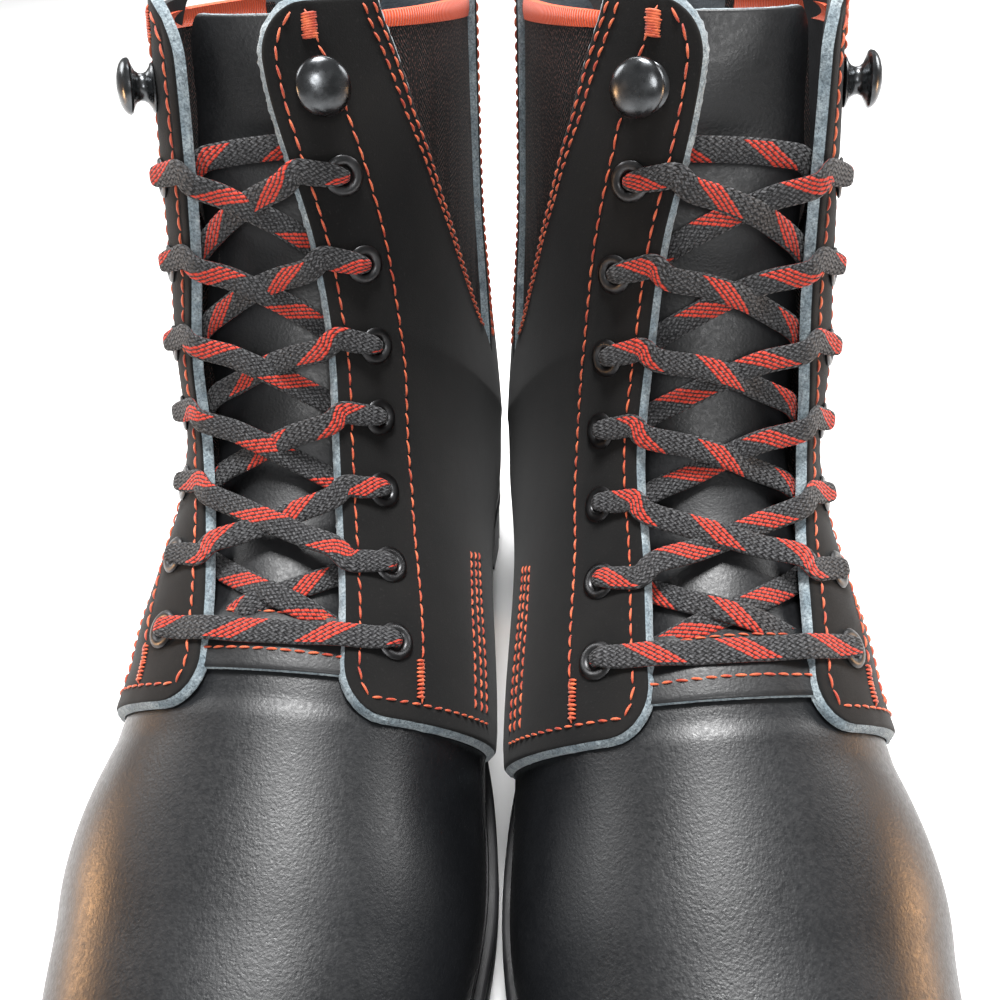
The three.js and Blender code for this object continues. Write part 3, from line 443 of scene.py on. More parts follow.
def shell(name, body, top, bottom, quads, materials, slot, uv=None, bulge=0.25, ragged=0.0, flare=0.0):
    """A sheet of leather between two layers of the same points. Its cut edges are walls whose middle
    bulges outwards, ragged by a random amount. Faces: top, cut edge, bottom."""
    n = len(top)
    rim = open_edges(quads, n)
    order = np.unique(rim)
    ahead, behind = np.zeros((n, 3)), np.zeros((n, 3))
    ahead[rim[:, 0]] = top[rim[:, 1]]
    behind[rim[:, 1]] = top[rim[:, 0]]
    run = ahead[order] - behind[order]
    thick = top[order] - bottom[order]
    out = np.cross(run, thick)
    out /= np.linalg.norm(out, axis=1, keepdims=True) + 1e-12
    centre = top[quads].mean(1)
    first = np.full(n, -1)
    for k in range(4):
        first[quads[:, k]] = np.arange(len(quads))
    inward = centre[first[order]] - top[order]
    out *= -np.sign(np.einsum("ij,ij->i", out, inward))[:, None]
    bottom = bottom.copy()
    bottom[order] += out * flare * MM
    levels = (0.2, 0.5, 0.8)
    middles = []
    for f in levels:
        push = bulge * math.sin(math.pi * f) + ragged * chance.uniform(-1, 1, len(order))
        middles.append(mix(bottom[order], top[order], f) + out * push[:, None] * MM)
    points = np.concatenate([top, bottom, *middles])
    where = np.full(n, -1)
    where[order] = np.arange(len(order))
    a, b = rim[:, 0], rim[:, 1]
    rings = [(a + n, b + n)] + [(2 * n + k * len(order) + where[a], 2 * n + k * len(order) + where[b])
                                for k in range(len(levels))] + [(a, b)]
    walls = [np.stack([hi[1], hi[0], lo[0], lo[1]], -1) for lo, hi in zip(rings[:-1], rings[1:])]
    walls = np.concatenate(walls)
    faces = np.concatenate([quads, walls, quads[:, ::-1] + n])
    slots = np.concatenate([np.zeros(len(quads)), np.ones(len(walls)), np.full(len(quads), 2)])
    if uv is not None:
        uv = np.concatenate([uv, uv] + [uv[order]] * len(levels))
    mats = materials if len(materials) == 3 else [materials[0]] * 3
    return piece(name, body, points, [faces], mats, slots, uv)


def sheet(boot, name, top, low, materials, slot, rides=True, **more):
    """A shell over a whole grid of points, given in the boot's own millimetres."""
    return shell(f"{boot}_{name}", f"{boot}_boot" if rides else None, place(boot, top.reshape(-1, 3)),
                 place(boot, low.reshape(-1, 3)), grid_quads(*top.shape[:2]), materials, slot, **more)


def solid(top, bottom):
    """Two grids of one shape, closed by a wall round their rims."""
    n = top.shape[0] * top.shape[1]
    quads = grid_quads(*top.shape[:2])
    rim = open_edges(quads, n)
    walls = np.stack([rim[:, 1], rim[:, 0], rim[:, 0] + n, rim[:, 1] + n], -1)
    return (np.concatenate([top.reshape(-1, 3), bottom.reshape(-1, 3)]),
            np.concatenate([quads, walls, quads[:, ::-1] + n]))


def turned(profile, frames, sides, closed):
    """Copies of a turned shape: (radius, height) points spun round each frame's own axis."""
    origin, along, across, out = frames
    p = np.asarray(profile, float)
    t = 2 * np.pi * np.arange(sides) / sides
    ring = (np.cos(t)[:, None] * along[:, None, None, :] + np.sin(t)[:, None] * across[:, None, None, :])
    points = origin[:, None, None, :] + MM * (
        p[:, 0][:, None, None] * ring + p[:, 1][:, None, None] * out[:, None, None, :])
    count, m = len(origin), len(p)
    quads = grid_quads(m, sides, True)
    if closed:
        last = grid_quads(2, sides, True)
        last = np.where(last < sides, last + (m - 1) * sides, last - sides)
        quads = np.concatenate([quads, last])
    shift = (np.arange(count) * m * sides)[:, None, None]
    faces = [(quads[None] + shift).reshape(-1, 4)]
    if not closed:
        caps = np.stack([np.arange(sides)[::-1], np.arange(sides) + (m - 1) * sides])
        faces.append((caps[None] + shift).reshape(-1, sides))
    return points.reshape(-1, 3), faces


def seats(boot, u, s, offset):
    """Frames on the skin: origin, two tangents and the outward normal."""
    points, out = skin(np.asarray(u, float), np.asarray(s, float), offset)
    origin, out = place(boot, points), direction(boot, out)
    along = np.cross(np.array([1.0, 0, 0]), out)
    along /= np.linalg.norm(along, axis=1, keepdims=True)
    return origin, along, np.cross(along, out), out


# ---- materials -------------------------------------------------------------------------------------
class Finish:
    """A Principled material with a few helpers for adding nodes."""

    def __init__(self, name, color, roughness, **fixed):
        """A material with these values set on its shader's own sockets."""
        self.material = bpy.data.materials.new(name)
        self.material.use_nodes = True
        self.tree = self.material.node_tree
        self.shader = self.tree.nodes["Principled BSDF"]
        self.shader.inputs["Base Color"].default_value = (*color, 1)
        self.shader.inputs["Roughness"].default_value = roughness
        for key, value in fixed.items():
            self.shader.inputs[key.replace("_", " ")].default_value = value
        self.bump = None

    def node(self, kind, **inputs):
        """Adds a node and sets its properties and inputs by name."""
        node = self.tree.nodes.new(kind)
        for key, value in inputs.items():
            if hasattr(node, key):
                setattr(node, key, value)
            else:
                self.put(node.inputs[key.replace("_", " ")], value)
        return node

    def put(self, socket, value):
        """Links a socket, or sets a value."""
        if isinstance(value, bpy.types.NodeSocket):
            self.tree.links.new(value, socket)
        else:
            socket.default_value = value

    def math(self, operation, a, b=0.0):
        """Output of one Math node."""
        node = self.tree.nodes.new("ShaderNodeMath")
        node.operation = operation
        for socket, value in zip(node.inputs, (a, b)):
            self.put(socket, value)
        return node.outputs[0]

    def coordinates(self, uv=False):
        """Object coordinates, or the piece's own UV map."""
        node = self.tree.nodes.new("ShaderNodeTexCoord")
        return node.outputs["UV" if uv else "Object"]

    def flat(self):
        """The two sockets of the piece's UV map."""
        split = self.node("ShaderNodeSeparateXYZ", Vector=self.coordinates(True))
        return split.outputs[0], split.outputs[1]

    def noise(self, scale, detail=3.0, uv=False, roughness=0.5):
        """Noise between 0 and 1."""
        return self.node("ShaderNodeTexNoise", Vector=self.coordinates(uv), Scale=scale, Detail=detail,
                         Roughness=roughness).outputs["Fac"]

    def cells(self, scale, feature="F1"):
        """Distances in a Voronoi pattern."""
        node = self.node("ShaderNodeTexVoronoi", Vector=self.coordinates(), Scale=scale)
        node.feature = feature
        return node.outputs["Distance"]

    def ramp(self, value, low, high, out_low=0.0, out_high=1.0):
        """A value carried from one range to another and clamped."""
        node = self.node("ShaderNodeMapRange", Value=value)
        for key, v in (("From Min", low), ("From Max", high), ("To Min", out_low), ("To Max", out_high)):
            self.put(node.inputs[key], v)
        return node.outputs["Result"]

    def color_mix(self, factor, a, b):
        """Two colours, or colour sockets, mixed by a factor."""
        node = self.tree.nodes.new("ShaderNodeMix")
        node.data_type = "RGBA"
        self.put(node.inputs["Factor"], factor)
        for key, v in (("A", a), ("B", b)):
            socket = [i for i in node.inputs if i.name == key and i.type == "RGBA"][0]
            self.put(socket, v if isinstance(v, bpy.types.NodeSocket) else (*v, 1))
        return [o for o in node.outputs if o.type == "RGBA"][0]

    def color(self, socket):
        """Links the base colour."""
        self.tree.links.new(socket, self.shader.inputs["Base Color"])

    def rough(self, socket):
        """Links the roughness."""
        self.tree.links.new(socket, self.shader.inputs["Roughness"])

    def raise_by(self, height, distance, strength=1.0):
        """Bump of a height field, laid over any bump added before."""
        node = self.node("ShaderNodeBump", Height=height, Distance=distance, Strength=strength)
        if self.bump:
            self.tree.links.new(self.bump, node.inputs["Normal"])
        self.bump = node.outputs[0]
        self.tree.links.new(self.bump, self.shader.inputs["Normal"])


def smooth_leather(name, rough, tone):
    """Polished grain leather: shallow creased cells, fine pores and slowly varying shine."""
    f = Finish(name, tone, rough, Specular_IOR_Level=0.5)
    slow = f.noise(38, 3)
    f.color(f.color_mix(f.ramp(slow, 0.3, 0.7), tone, tuple(c * 1.5 for c in tone)))
    fine = f.noise(900, 4, roughness=0.65)
    f.rough(f.math("ADD", f.ramp(slow, 0.3, 0.7, rough - 0.03, rough + 0.05),
                   f.ramp(fine, 0.35, 0.65, -0.05, 0.07)))
    f.raise_by(f.cells(1500, "SMOOTH_F1"), 0.00006, 0.6)
    f.raise_by(f.noise(2600, 3), 0.00006, 0.6)
    f.raise_by(f.noise(60, 2), 0.0004, 0.1)
    return f.material


def nubuck():
    """Brushed leather: a short nap with darker and greyer patches and pale scuffs."""
    f = Finish("nubuck", (0.009, 0.009, 0.0095), 0.92, Sheen_Weight=0.06, Sheen_Roughness=0.5,
               Specular_IOR_Level=0.25)
    patch = f.ramp(f.noise(45, 4), 0.35, 0.7)
    base = f.color_mix(patch, (0.0035, 0.0034, 0.0035), (0.0078, 0.0072, 0.0068))
    speck = f.ramp(f.noise(1500, 2), 0.62, 0.75)
    f.color(f.color_mix(f.math("MULTIPLY", speck, 0.3), base, (0.03, 0.028, 0.027)))
    f.raise_by(f.noise(2400, 4, roughness=0.7), 0.00012, 0.6)
    f.raise_by(f.noise(160, 2), 0.0003, 0.2)
    return f.material


def raw_edge():
    """Cut leather edge: pale blue-grey fibres, paler where they fray."""
    f = Finish("raw_edge", (0.2, 0.25, 0.28), 0.95, Sheen_Weight=0.3, Specular_IOR_Level=0.2)
    fibre = f.noise(1700, 4, roughness=0.7)
    blotch = f.ramp(f.noise(260, 3), 0.35, 0.7)
    base = f.color_mix(blotch, (0.27, 0.34, 0.38), (0.55, 0.63, 0.66))
    f.color(f.color_mix(f.ramp(fibre, 0.3, 0.75), (0.06, 0.08, 0.095), base))
    f.raise_by(fibre, 0.0003, 0.8)
    return f.material


def flesh_side():
    """Inner face of the leather: blue-grey suede."""
    f = Finish("flesh_side", (0.07, 0.085, 0.1), 1.0, Sheen_Weight=0.25, Specular_IOR_Level=0.15)
    blotch = f.ramp(f.noise(120, 4), 0.3, 0.7)
    f.color(f.color_mix(blotch, (0.045, 0.056, 0.066), (0.1, 0.12, 0.14)))
    f.raise_by(f.noise(1400, 4), 0.00025, 0.7)
    return f.material


def lining_leather():
    """Lining leather: near-black, slowly varying, with a fine grain."""
    f = Finish("lining_leather", (0.016, 0.016, 0.017), 0.6, Specular_IOR_Level=0.35)
    f.color(f.color_mix(f.ramp(f.noise(90, 3), 0.3, 0.7), (0.011, 0.011, 0.012), (0.025, 0.026, 0.028)))
    f.raise_by(f.noise(1300, 4), 0.00012, 0.6)
    return f.material


def thread():
    """Polyester thread: orange-red, with paler patches painted in as highlights, and a twist."""
    f = Finish("thread", (0.75, 0.12, 0.05), 0.55, Sheen_Weight=0.25, Specular_IOR_Level=0.4)
    # Painted highlight: noise patches blend the dark orange-red towards a paler orange.
    f.color(f.color_mix(f.ramp(f.noise(420, 3), 0.35, 0.68), (0.36, 0.028, 0.008), (0.72, 0.15, 0.05)))
    f.raise_by(f.noise(3200, 2), 0.00015, 0.6)
    return f.material


def braid():
    """Flat braid on (length, width) in millimetres: crossed strands, with slanting red blocks.
    Painted shade darkens the hollows between strands, and the pale parts of the strands are painted glints.
    """
    f = Finish("braid", (0.03, 0.03, 0.032), 0.8, Sheen_Weight=0.12, Specular_IOR_Level=0.3)
    x, y = f.flat()
    pitch, slope = 1.05, 0.62
    one = f.math("DIVIDE", f.math("SUBTRACT", y, f.math("MULTIPLY", x, slope)), pitch)
    two = f.math("DIVIDE", f.math("ADD", y, f.math("MULTIPLY", x, slope)), pitch)
    crown = [f.math("SUBTRACT", 1.0, f.math("POWER", f.math("ABSOLUTE", f.math(
        "SUBTRACT", f.math("MULTIPLY", f.math("FRACT", v), 2.0), 1.0)), 2.2)) for v in (one, two)]
    cell = f.math("ADD", f.math("FLOOR", one), f.math("FLOOR", two))
    over = f.math("GREATER_THAN", f.math("MODULO", f.math("ADD", cell, 4000.0), 2.0), 0.5)
    height = f.math("ADD", f.math("MULTIPLY", over, crown[0]),
                    f.math("MULTIPLY", f.math("SUBTRACT", 1.0, over), crown[1]))
    group = f.math("DIVIDE", f.math("ADD", f.math("FLOOR", one), 4000.0), 12.0)
    block = f.math("LESS_THAN", f.math("FRACT", group), 0.3)
    wide = f.math("LESS_THAN", f.math("ABSOLUTE", f.math("SUBTRACT", y, 0.7)), 2.9)
    seen = f.math("MAXIMUM", over, f.math("GREATER_THAN", crown[0], 0.75))
    red = f.math("MULTIPLY", f.math("MULTIPLY", block, wide), seen)
    strand = f.noise(1.6, 2, True)
    # Strand tone from charcoal to pale grey: the pale parts are painted glints.
    strand_grey_with_painted_glints = f.color_mix(f.ramp(strand, 0.35, 0.7), (0.008, 0.008, 0.0095), (0.13, 0.13, 0.135))
    # Painted shade: the grey and the red strands darken with the weave's height towards the gaps between
    # them.
    grey_with_painted_gap_shade = f.color_mix(f.ramp(height, 0.35, 1.0), (0.002, 0.002, 0.0025), strand_grey_with_painted_glints)
    red_with_painted_gap_shade = f.color_mix(f.ramp(height, 0.1, 0.9), (0.06, 0.005, 0.004), (0.6, 0.05, 0.028))
    f.color(f.color_mix(red, grey_with_painted_gap_shade, red_with_painted_gap_shade))
    f.raise_by(height, 0.00035, 0.9)
    return f.material


def herringbone():
    """Elastic webbing on (width, height) in millimetres: slanting ribs that change side every column,
    reddish flecks on the ribs, and painted shade in the hollows between the ribs."""
    f = Finish("herringbone", (0.02, 0.015, 0.015), 0.85, Sheen_Weight=0.03, Specular_IOR_Level=0.25)
    x, y = f.flat()
    column, rib = 4.2, 1.15
    fold = f.math("PINGPONG", x, column)
    lane = f.math("FRACT", f.math("DIVIDE", f.math("ADD", y, f.math("MULTIPLY", fold, 1.35)), rib))
    crown = f.math("SINE", f.math("MULTIPLY", lane, math.pi))
    along = f.math("SINE", f.math("MULTIPLY", x, 2 * math.pi / 0.7))
    height = f.math("MULTIPLY", crown, f.ramp(along, -1, 1, 0.75, 1.0))
    fleck = f.math("GREATER_THAN", f.noise(1.6, 1, True), 0.56)
    spot = f.math("MULTIPLY", fleck, f.math("GREATER_THAN", height, 0.62))
    # Painted shade: the webbing's colour follows the ribs' height and darkens in the hollows between them.
    base = f.color_mix(height, (0.0015, 0.0012, 0.0012), (0.0065, 0.0055, 0.0055))
    f.color(f.color_mix(f.math("MULTIPLY", spot, 0.8), base, (0.13, 0.06, 0.05)))
    f.raise_by(height, 0.0003, 0.9)
    return f.material


def selvedge():
    """The webbing's woven top band: bright ribs across its length, paler on their crests as painted
    highlight and darker between them as painted shade.
    """
    f = Finish("selvedge", (0.85, 0.09, 0.02), 0.75, Sheen_Weight=0.2, Specular_IOR_Level=0.3)
    rib = 0.9
    tooth = f.math("SINE", f.math("MULTIPLY", f.flat()[0], 2 * math.pi / rib))
    # Painted highlight and shade: the red is paler on each rib's crest and darker between ribs.
    f.color(f.color_mix(f.ramp(tooth, -1, 1), (0.62, 0.05, 0.015), (0.95, 0.14, 0.035)))
    f.raise_by(tooth, 0.0002, 0.8)
    return f.material


def metal(name, tone, rough):
    """Gunmetal or steel: uneven tone and shine, faintly pitted."""
    f = Finish(name, tone, rough, Metallic=0.95)
    f.rough(f.ramp(f.noise(500, 3), 0.3, 0.7, rough - 0.06, rough + 0.1))
    f.color(f.color_mix(f.ramp(f.noise(300, 3), 0.35, 0.7), tone, tuple(c * 0.55 for c in tone)))
    f.raise_by(f.noise(900, 2), 0.00004, 0.5)
    return f.material


def rubber(name, tone, rough):
    """Moulded rubber: slow changes of tone and shine, and a fine grain."""
    f = Finish(name, tone, rough, Specular_IOR_Level=0.4)
    f.color(f.color_mix(f.ramp(f.noise(60, 4), 0.35, 0.7), tone, tuple(c * 1.8 for c in tone)))
    f.rough(f.ramp(f.noise(200, 3), 0.3, 0.7, rough - 0.08, rough + 0.1))
    f.raise_by(f.noise(1500, 3), 0.0001, 0.5)
    return f.material


def plain(name, tone, rough, scale, depth, **fixed):
    """Board, cork and other inner stuff: two-tone grain with a matching bump."""
    f = Finish(name, tone, rough, **fixed)
    grain = f.noise(scale, 4, roughness=0.7)
    f.color(f.color_mix(f.ramp(grain, 0.3, 0.7), tuple(c * 0.55 for c in tone), tone))
    f.raise_by(grain, depth, 0.7)
    return f.material


VAMP_LEATHER = smooth_leather("vamp_leather", 0.36, (0.0055, 0.006, 0.007))
TONGUE_LEATHER = smooth_leather("tongue_leather", 0.42, (0.0055, 0.0058, 0.0066))
NUBUCK, RAW, FLESH, LINING = nubuck(), raw_edge(), flesh_side(), lining_leather()
THREAD, BRAID, GORE, SELVEDGE = thread(), braid(), herringbone(), selvedge()
HOOK_METAL = metal("hook_gunmetal", (0.1, 0.105, 0.11), 0.24)
EYELET_METAL = metal("eyelet_gunmetal", (0.07, 0.07, 0.072), 0.34)
SOLE_RUBBER = rubber("sole_rubber", (0.011, 0.011, 0.012), 0.6)
WELT_RUBBER = rubber("welt_rubber", (0.013, 0.013, 0.014), 0.45)
FOOTBED = plain("footbed_fabric", (0.05, 0.052, 0.058), 0.95, 900, 0.0003, Sheen_Weight=0.3)
BOARD = plain("fibre_board", (0.45, 0.34, 0.2), 0.85, 700, 0.0002)
CORK = plain("granulated_cork", (0.32, 0.2, 0.1), 0.95, 350, 0.0005)
STEEL = metal("shank_steel", (0.5, 0.5, 0.51), 0.35)
AGLET = plain("aglet_plastic", (0.012, 0.012, 0.012), 0.3, 400, 0.00003)

# ---- uppers ----------------------------------------------------------------------------------------
EDGE_STEPS = np.array([0, 0.25, 0.6, 1.1, 1.8])  # extra points close to a cut edge
EDGE_DROP = np.array([-0.45, -0.14, -0.03, 0, 0])  # how far the rounded edge falls there


def graded(start, stop, count, near_stop=True):
    """Distances from start to stop with extra points close to the ends, and the edge's fall at each."""
    last = EDGE_STEPS if near_stop else EDGE_STEPS[:1]
    inner = np.linspace(0, 1, count + 2)[1:-1]
    low, high = start + EDGE_STEPS[-1], stop - last[-1]
    t = np.concatenate([start[..., None] + EDGE_STEPS, low[..., None] + (high - low)[..., None] * inner,
                        stop[..., None] - last[::-1]], -1)
    drop = np.zeros(t.shape[-1])
    drop[:len(EDGE_STEPS)] = EDGE_DROP
    if near_stop:
        drop[-len(last):] = EDGE_DROP[::-1]
    return t, drop


def section_rows(start, stop, step):
    """Sections from start to stop, closer at the cut ends, and the edge's fall at each."""
    ends = EDGE_STEPS / ROW_RUN
    inner = np.linspace(start + ends[-1], stop - ends[-1], int((stop - start) / step))
    rows = np.concatenate([start + ends[:-1], inner, (stop - ends[:-1])[::-1]])
    drop = np.zeros(len(rows))
    drop[:len(ends)] = EDGE_DROP
    drop[-len(ends):] = EDGE_DROP[::-1]
    return rows, drop


def vamp(boot):
    """Toe and forefoot: every section from feather line to feather line."""
    rows = np.concatenate([[TOE_START, 0.0012, 0.004, 0.008, 0.013], np.linspace(0.02, VAMP_STOP, 110)])
    t = np.linspace(-1, 1, 151)
    reach_in, reach_out = reach_at(rows, 1), reach_at(rows, -1)
    s = np.where(t > 0, t * reach_in[:, None], t * reach_out[:, None])
    u = np.repeat(rows[:, None], len(t), 1)
    under = -0.5 * ease(QUARTER_START - 0.004, QUARTER_START + 0.006, u)
    points, out = skin(u, s, VAMP_TOP + 0 * u)
    low = points - out * VAMP_THICK
    points = points + out * under[..., None]
    return sheet(boot, "vamp_leather", points, low, [VAMP_LEATHER, VAMP_LEATHER, FLESH], "smooth_leather")


def notch_distance(u, side, edge):
    """Distance round each section to the notch's front (1) or back (2) edge, by crossing it in side view."""
    front, back, _, end = section(u, side)
    a = np.linspace(0, 1, 400)
    y = mix(front[:, :1], back[:, :1], a)
    z = mix(front[:, 1:], back[:, 1:], a)
    wall = lines(NOTCH, z, edge)
    beyond = y >= wall
    i = np.maximum(np.argmax(beyond, axis=1), 1)
    r = np.arange(len(u))
    gap0, gap1 = y[r, i - 1] - wall[r, i - 1], y[r, i] - wall[r, i]
    share = a[i - 1] + (a[i] - a[i - 1]) * np.clip(-gap0 / (gap1 - gap0 + 1e-9), 0, 1)
    angle = np.arccos(np.clip(1 - share * (1 - np.cos(end)), -1, 1))
    table = ROUND[side][0]
    nearest = ((u - SECTIONS[0]) / (SECTIONS[1] - SECTIONS[0])).round().astype(int)
    rows = np.clip(nearest, 0, len(SECTIONS) - 1)
    found = np.array([np.interp(v, table[row], TAPE) for v, row in zip(angle, rows)])
    room = reach_at(u, side) - 5
    return np.where(beyond.any(axis=1), np.minimum(found, room), room)


def stamped(boot, side, u, s):
    """Dents pressed in the leather: round every eyelet, and along the two facing seams."""
    edge = facing(boot, side, u)
    d = np.abs(s) - edge
    dent = -0.22 * np.exp(-((d - SEAM_INSET) / 0.7) ** 2) - 0.2 * np.exp(-((d - seam_back(u)) / 0.8) ** 2)
    for row in EYELET_ROWS:
        rise = (u - row) * SKIN_RUN
        r = np.hypot(d - EYELET_INSET, rise)
        dent = dent - 0.35 * np.exp(-((r - 4.3) / 1.6) ** 2)
    return dent


def seam_back(u):
    """Distance of the second facing seam behind the facing's edge."""
    return lines([[0.28, 17.5], [0.45, 20.5], [0.6, 20], [0.76, 17.4], [0.83, 15.6], [0.905, 9.5]], u)


def quarter(boot, side):
    """Front and rear part of a quarter on one grid, open at the gore's notch and joined below it."""
    rows, row_drop = section_rows(QUARTER_START, COLLAR, ROW_STEP)
    start = facing_cut(boot, side, rows)
    end = reach_at(rows, side) - np.where(rows < HEEL_SECTION, 0.5, 0.15)
    one, two = notch_distance(rows, side, 1), notch_distance(rows, side, 2)
    first, drop1 = graded(start, one, 44)
    second, drop2 = graded(two, end, 30, False)
    closed = (two - one) <= 0.4
    width = first.shape[1] + second.shape[1]
    n_rows = len(rows)
    s = np.concatenate([first, second], 1) * side
    col_drop = np.concatenate([drop1, drop2])
    drops = np.minimum(row_drop[:, None], col_drop[None, :])
    cut = slice(len(drop1) - len(EDGE_STEPS), len(drop1) + len(EDGE_STEPS))
    drops[closed, cut] = row_drop[closed][:, None]
    u = np.repeat(rows[:, None], width, 1)
    dent = stamped(boot, side, u, s)
    points, out = skin(u, s, 0 * u)
    low = points - out * QUARTER_LEATHER
    high = points + out * (drops + dent)[..., None]
    index = np.arange(n_rows * width).reshape(n_rows, width)
    join = len(drop1)
    shared = index.copy()
    shared[closed, join] = index[closed, join - 1]
    quads = np.concatenate([
        np.stack([shared[:-1, c], shared[:-1, c + 1], shared[1:, c + 1], shared[1:, c]], -1)
        for c in range(width - 1) if c != join - 1])
    used = np.unique(quads)
    back = np.full(n_rows * width, -1)
    back[used] = np.arange(len(used))
    top, bottom = high.reshape(-1, 3)[used], low.reshape(-1, 3)[used]
    return shell(f"{boot}_quarter_{SIDE_NAME[side]}_leather", f"{boot}_boot", place(boot, top),
                 place(boot, bottom), back[quads], [NUBUCK, RAW, FLESH], "nubuck_leather", bulge=0.35,
                 ragged=0.3, flare=1.1)


def stay(boot, side):
    """Lining strip behind a facing, a little back from its edge."""
    rows, _ = section_rows(STAY_START, COLLAR - 0.004, 0.006)
    start = facing_cut(boot, side, rows) + STAY_INSET
    s, _ = graded(start, start + STAY_WIDE, 12)
    u = np.repeat(rows[:, None], s.shape[1], 1)
    points, out = skin(u, s * side, -QUARTER_LEATHER - 0.15 + 0 * u)
    return sheet(boot, f"stay_{SIDE_NAME[side]}", points, points - out * STAY_THICK, [LINING],
                 "nubuck_leather")


def gore(boot, side):
    """Elastic panel behind the notch, slightly proud in its middle, with its bright top band."""
    rows = np.linspace(*GORE_SPAN, 90)
    one, two = (notch_distance(rows, side, 1) - GORE_OVERLAP, notch_distance(rows, side, 2) + GORE_OVERLAP)
    t = np.linspace(0, 1, 44)
    s = mix(one[:, None], two[:, None], t)
    u = np.repeat(rows[:, None], len(t), 1)
    puff = 0.9 * np.sin(np.pi * t)[None, :] * ease(0.66, 0.75, u) * ease(0.2, 0.6, np.abs(s) / 60)
    points, out = skin(u, s * side, -QUARTER_LEATHER - 0.1 + puff)
    uv = np.stack([s, points[..., 2]], -1).reshape(-1, 2)
    panel = sheet(boot, f"gore_{SIDE_NAME[side]}_elastic", points, points - out * GORE_THICK, [GORE],
                  "elastic", uv=uv)
    rows = np.linspace(*BAND_SPAN, 6)
    u = np.repeat(rows[:, None], len(t), 1)
    edges = [notch_distance(rows, side, k)[:, None] for k in (1, 2)]
    s = mix(edges[0] - 0.3, edges[1] + 0.3, t)
    crown = 0.35 * np.sin(np.pi * np.linspace(0, 1, len(rows)))[:, None]
    points, out = skin(u, s * side, -QUARTER_LEATHER + 0.35 + puff[-1][None, :] + crown)
    uv = np.stack([s, points[..., 2]], -1).reshape(-1, 2)
    band = sheet(boot, f"gore_{SIDE_NAME[side]}_band", points, points - out * BAND_THICK, [SELVEDGE],
                 "elastic", uv=uv)
    return panel, band


def backstay(boot):
    """Strip over the back seam, from the heel to the collar."""
    rows, drop = section_rows(BACKSTAY_START, COLLAR, 0.005)
    t, col = graded(np.array(-BACKSTAY_HALF), np.array(BACKSTAY_HALF), 14)
    reach = {side: reach_at(rows, side)[:, None] for side in (1, -1)}
    s = np.where(t >= 0, reach[1] - np.abs(t) - 0.02, -(reach[-1] - np.abs(t) - 0.02))
    u = np.repeat(rows[:, None], len(t), 1)
    points, _ = skin(u, s, 2.35 + np.minimum(drop[:, None], col[None, :]))
    low, _ = skin(u, s, 0.1 + 0 * u)
    return sheet(boot, "backstay_leather", points, low, [NUBUCK, RAW, FLESH], "nubuck_leather", ragged=0.1)


TONGUE_TOP = 0.898
TONGUE_DEPTH = -7.8


def tongue_offset(boot, u, s):
    """The tongue lies on the vamp at its lower edge, then sinks behind the facings and hollows."""
    low = TONGUE_LOW[boot]
    sink = ease(low + 0.012, low + 0.05, u)
    hollow = mix(-3.4 * ease(low + 0.012, low + 0.04, u), 2.4, ease(0.36, 0.5, u))
    middle = np.cos(np.clip(s / 26, -1, 1) * np.pi / 2) * hollow
    ripple = (0.5 * np.sin(u * 46 + s / 19) * ease(0.4, 0.5, u)
              + 0.35 * np.sin(s / 6.5 + u * 30) * ease(0.55, 0.8, u))
    return mix(VAMP_TOP + 1.5, TONGUE_DEPTH, sink) - middle + ripple * 0.8


def tongue(boot):
    """The whole tongue as one sheet, attached to no body."""
    rows, drop = section_rows(TONGUE_LOW[boot], TONGUE_TOP, ROW_STEP)
    inner = facing(boot, 1, rows) + 9
    outer = facing(boot, -1, rows) + 9
    near_top = np.clip((rows - TONGUE_TOP + 0.03) / 0.03, 0, 1)
    narrow = 1 - 0.35 * (1 - np.sqrt(1 - near_top**2))
    t = np.linspace(-1, 1, 91)
    s = np.where(t > 0, t * (inner * narrow)[:, None], t * (outer * narrow)[:, None])
    u = np.repeat(rows[:, None], len(t), 1)
    offset = tongue_offset(boot, u, s)
    points, out = skin(u, s, offset)
    thick = mix(1.5, 2.0, ease(0.33, 0.4, u))
    low = points - out * thick[..., None]
    points = points + out * (drop[:, None] * 0.8)[..., None]
    thing = sheet(boot, "tongue_leather", points, low, [TONGUE_LEATHER, RAW, LINING], "tongue_leather",
                  rides=False, ragged=0.05)
    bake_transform(thing)
    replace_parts(thing, f"{boot}_tongue_base", f"{boot}_tongue_flap")
    return thing


def gusset(boot, side):
    """Folded textile between the tongue's edge and the quarter's inner face."""
    rows = np.linspace(*GUSSET_SPAN, 70)
    t = np.linspace(0, 1, 24)
    edge = facing(boot, side, rows)[:, None]
    u = np.repeat(rows[:, None], len(t), 1)
    s = edge + 2 + t * 22
    fold = -9.6 + 5.2 * t**2 - 2.6 * np.sin(np.pi * t) + 0.5 * np.sin(7 * np.pi * t + u * 60)
    points, out = skin(u, s * side, fold)
    uv = np.stack([s, u * SKIN_RUN], -1).reshape(-1, 2)
    return sheet(boot, f"gusset_{SIDE_NAME[side]}", points, points - out * GUSSET_THICK, [GORE], "elastic",
                 uv=uv)


# ---- eyelets and hooks -----------------------------------------------------------------------------
def eyelets(boot, side):
    """Seven rolled rings: a closed profile spun round each eyelet's axis."""
    u = np.array(EYELET_ROWS)
    s = (facing(boot, side, u) + EYELET_INSET) * side
    profile = [[1.95, -3.6], [2.4, -3.7], [2.5, -0.2], [4.0, 0.05], [4.45, 0.25], [4.5, 0.55], [4.2, 0.85],
               [3.5, 1.0], [2.8, 0.95], [2.2, 0.6], [1.95, 0.0]]
    points, faces = turned(profile, seats(boot, u, s, -0.15), 28, True)
    name = SIDE_NAME[side]
    thing = piece(f"{boot}_eyelet_rings_{name}", f"{boot}_boot", points, faces, [EYELET_METAL])
    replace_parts(thing, f"{boot}_eyelets_{name}")
    return thing


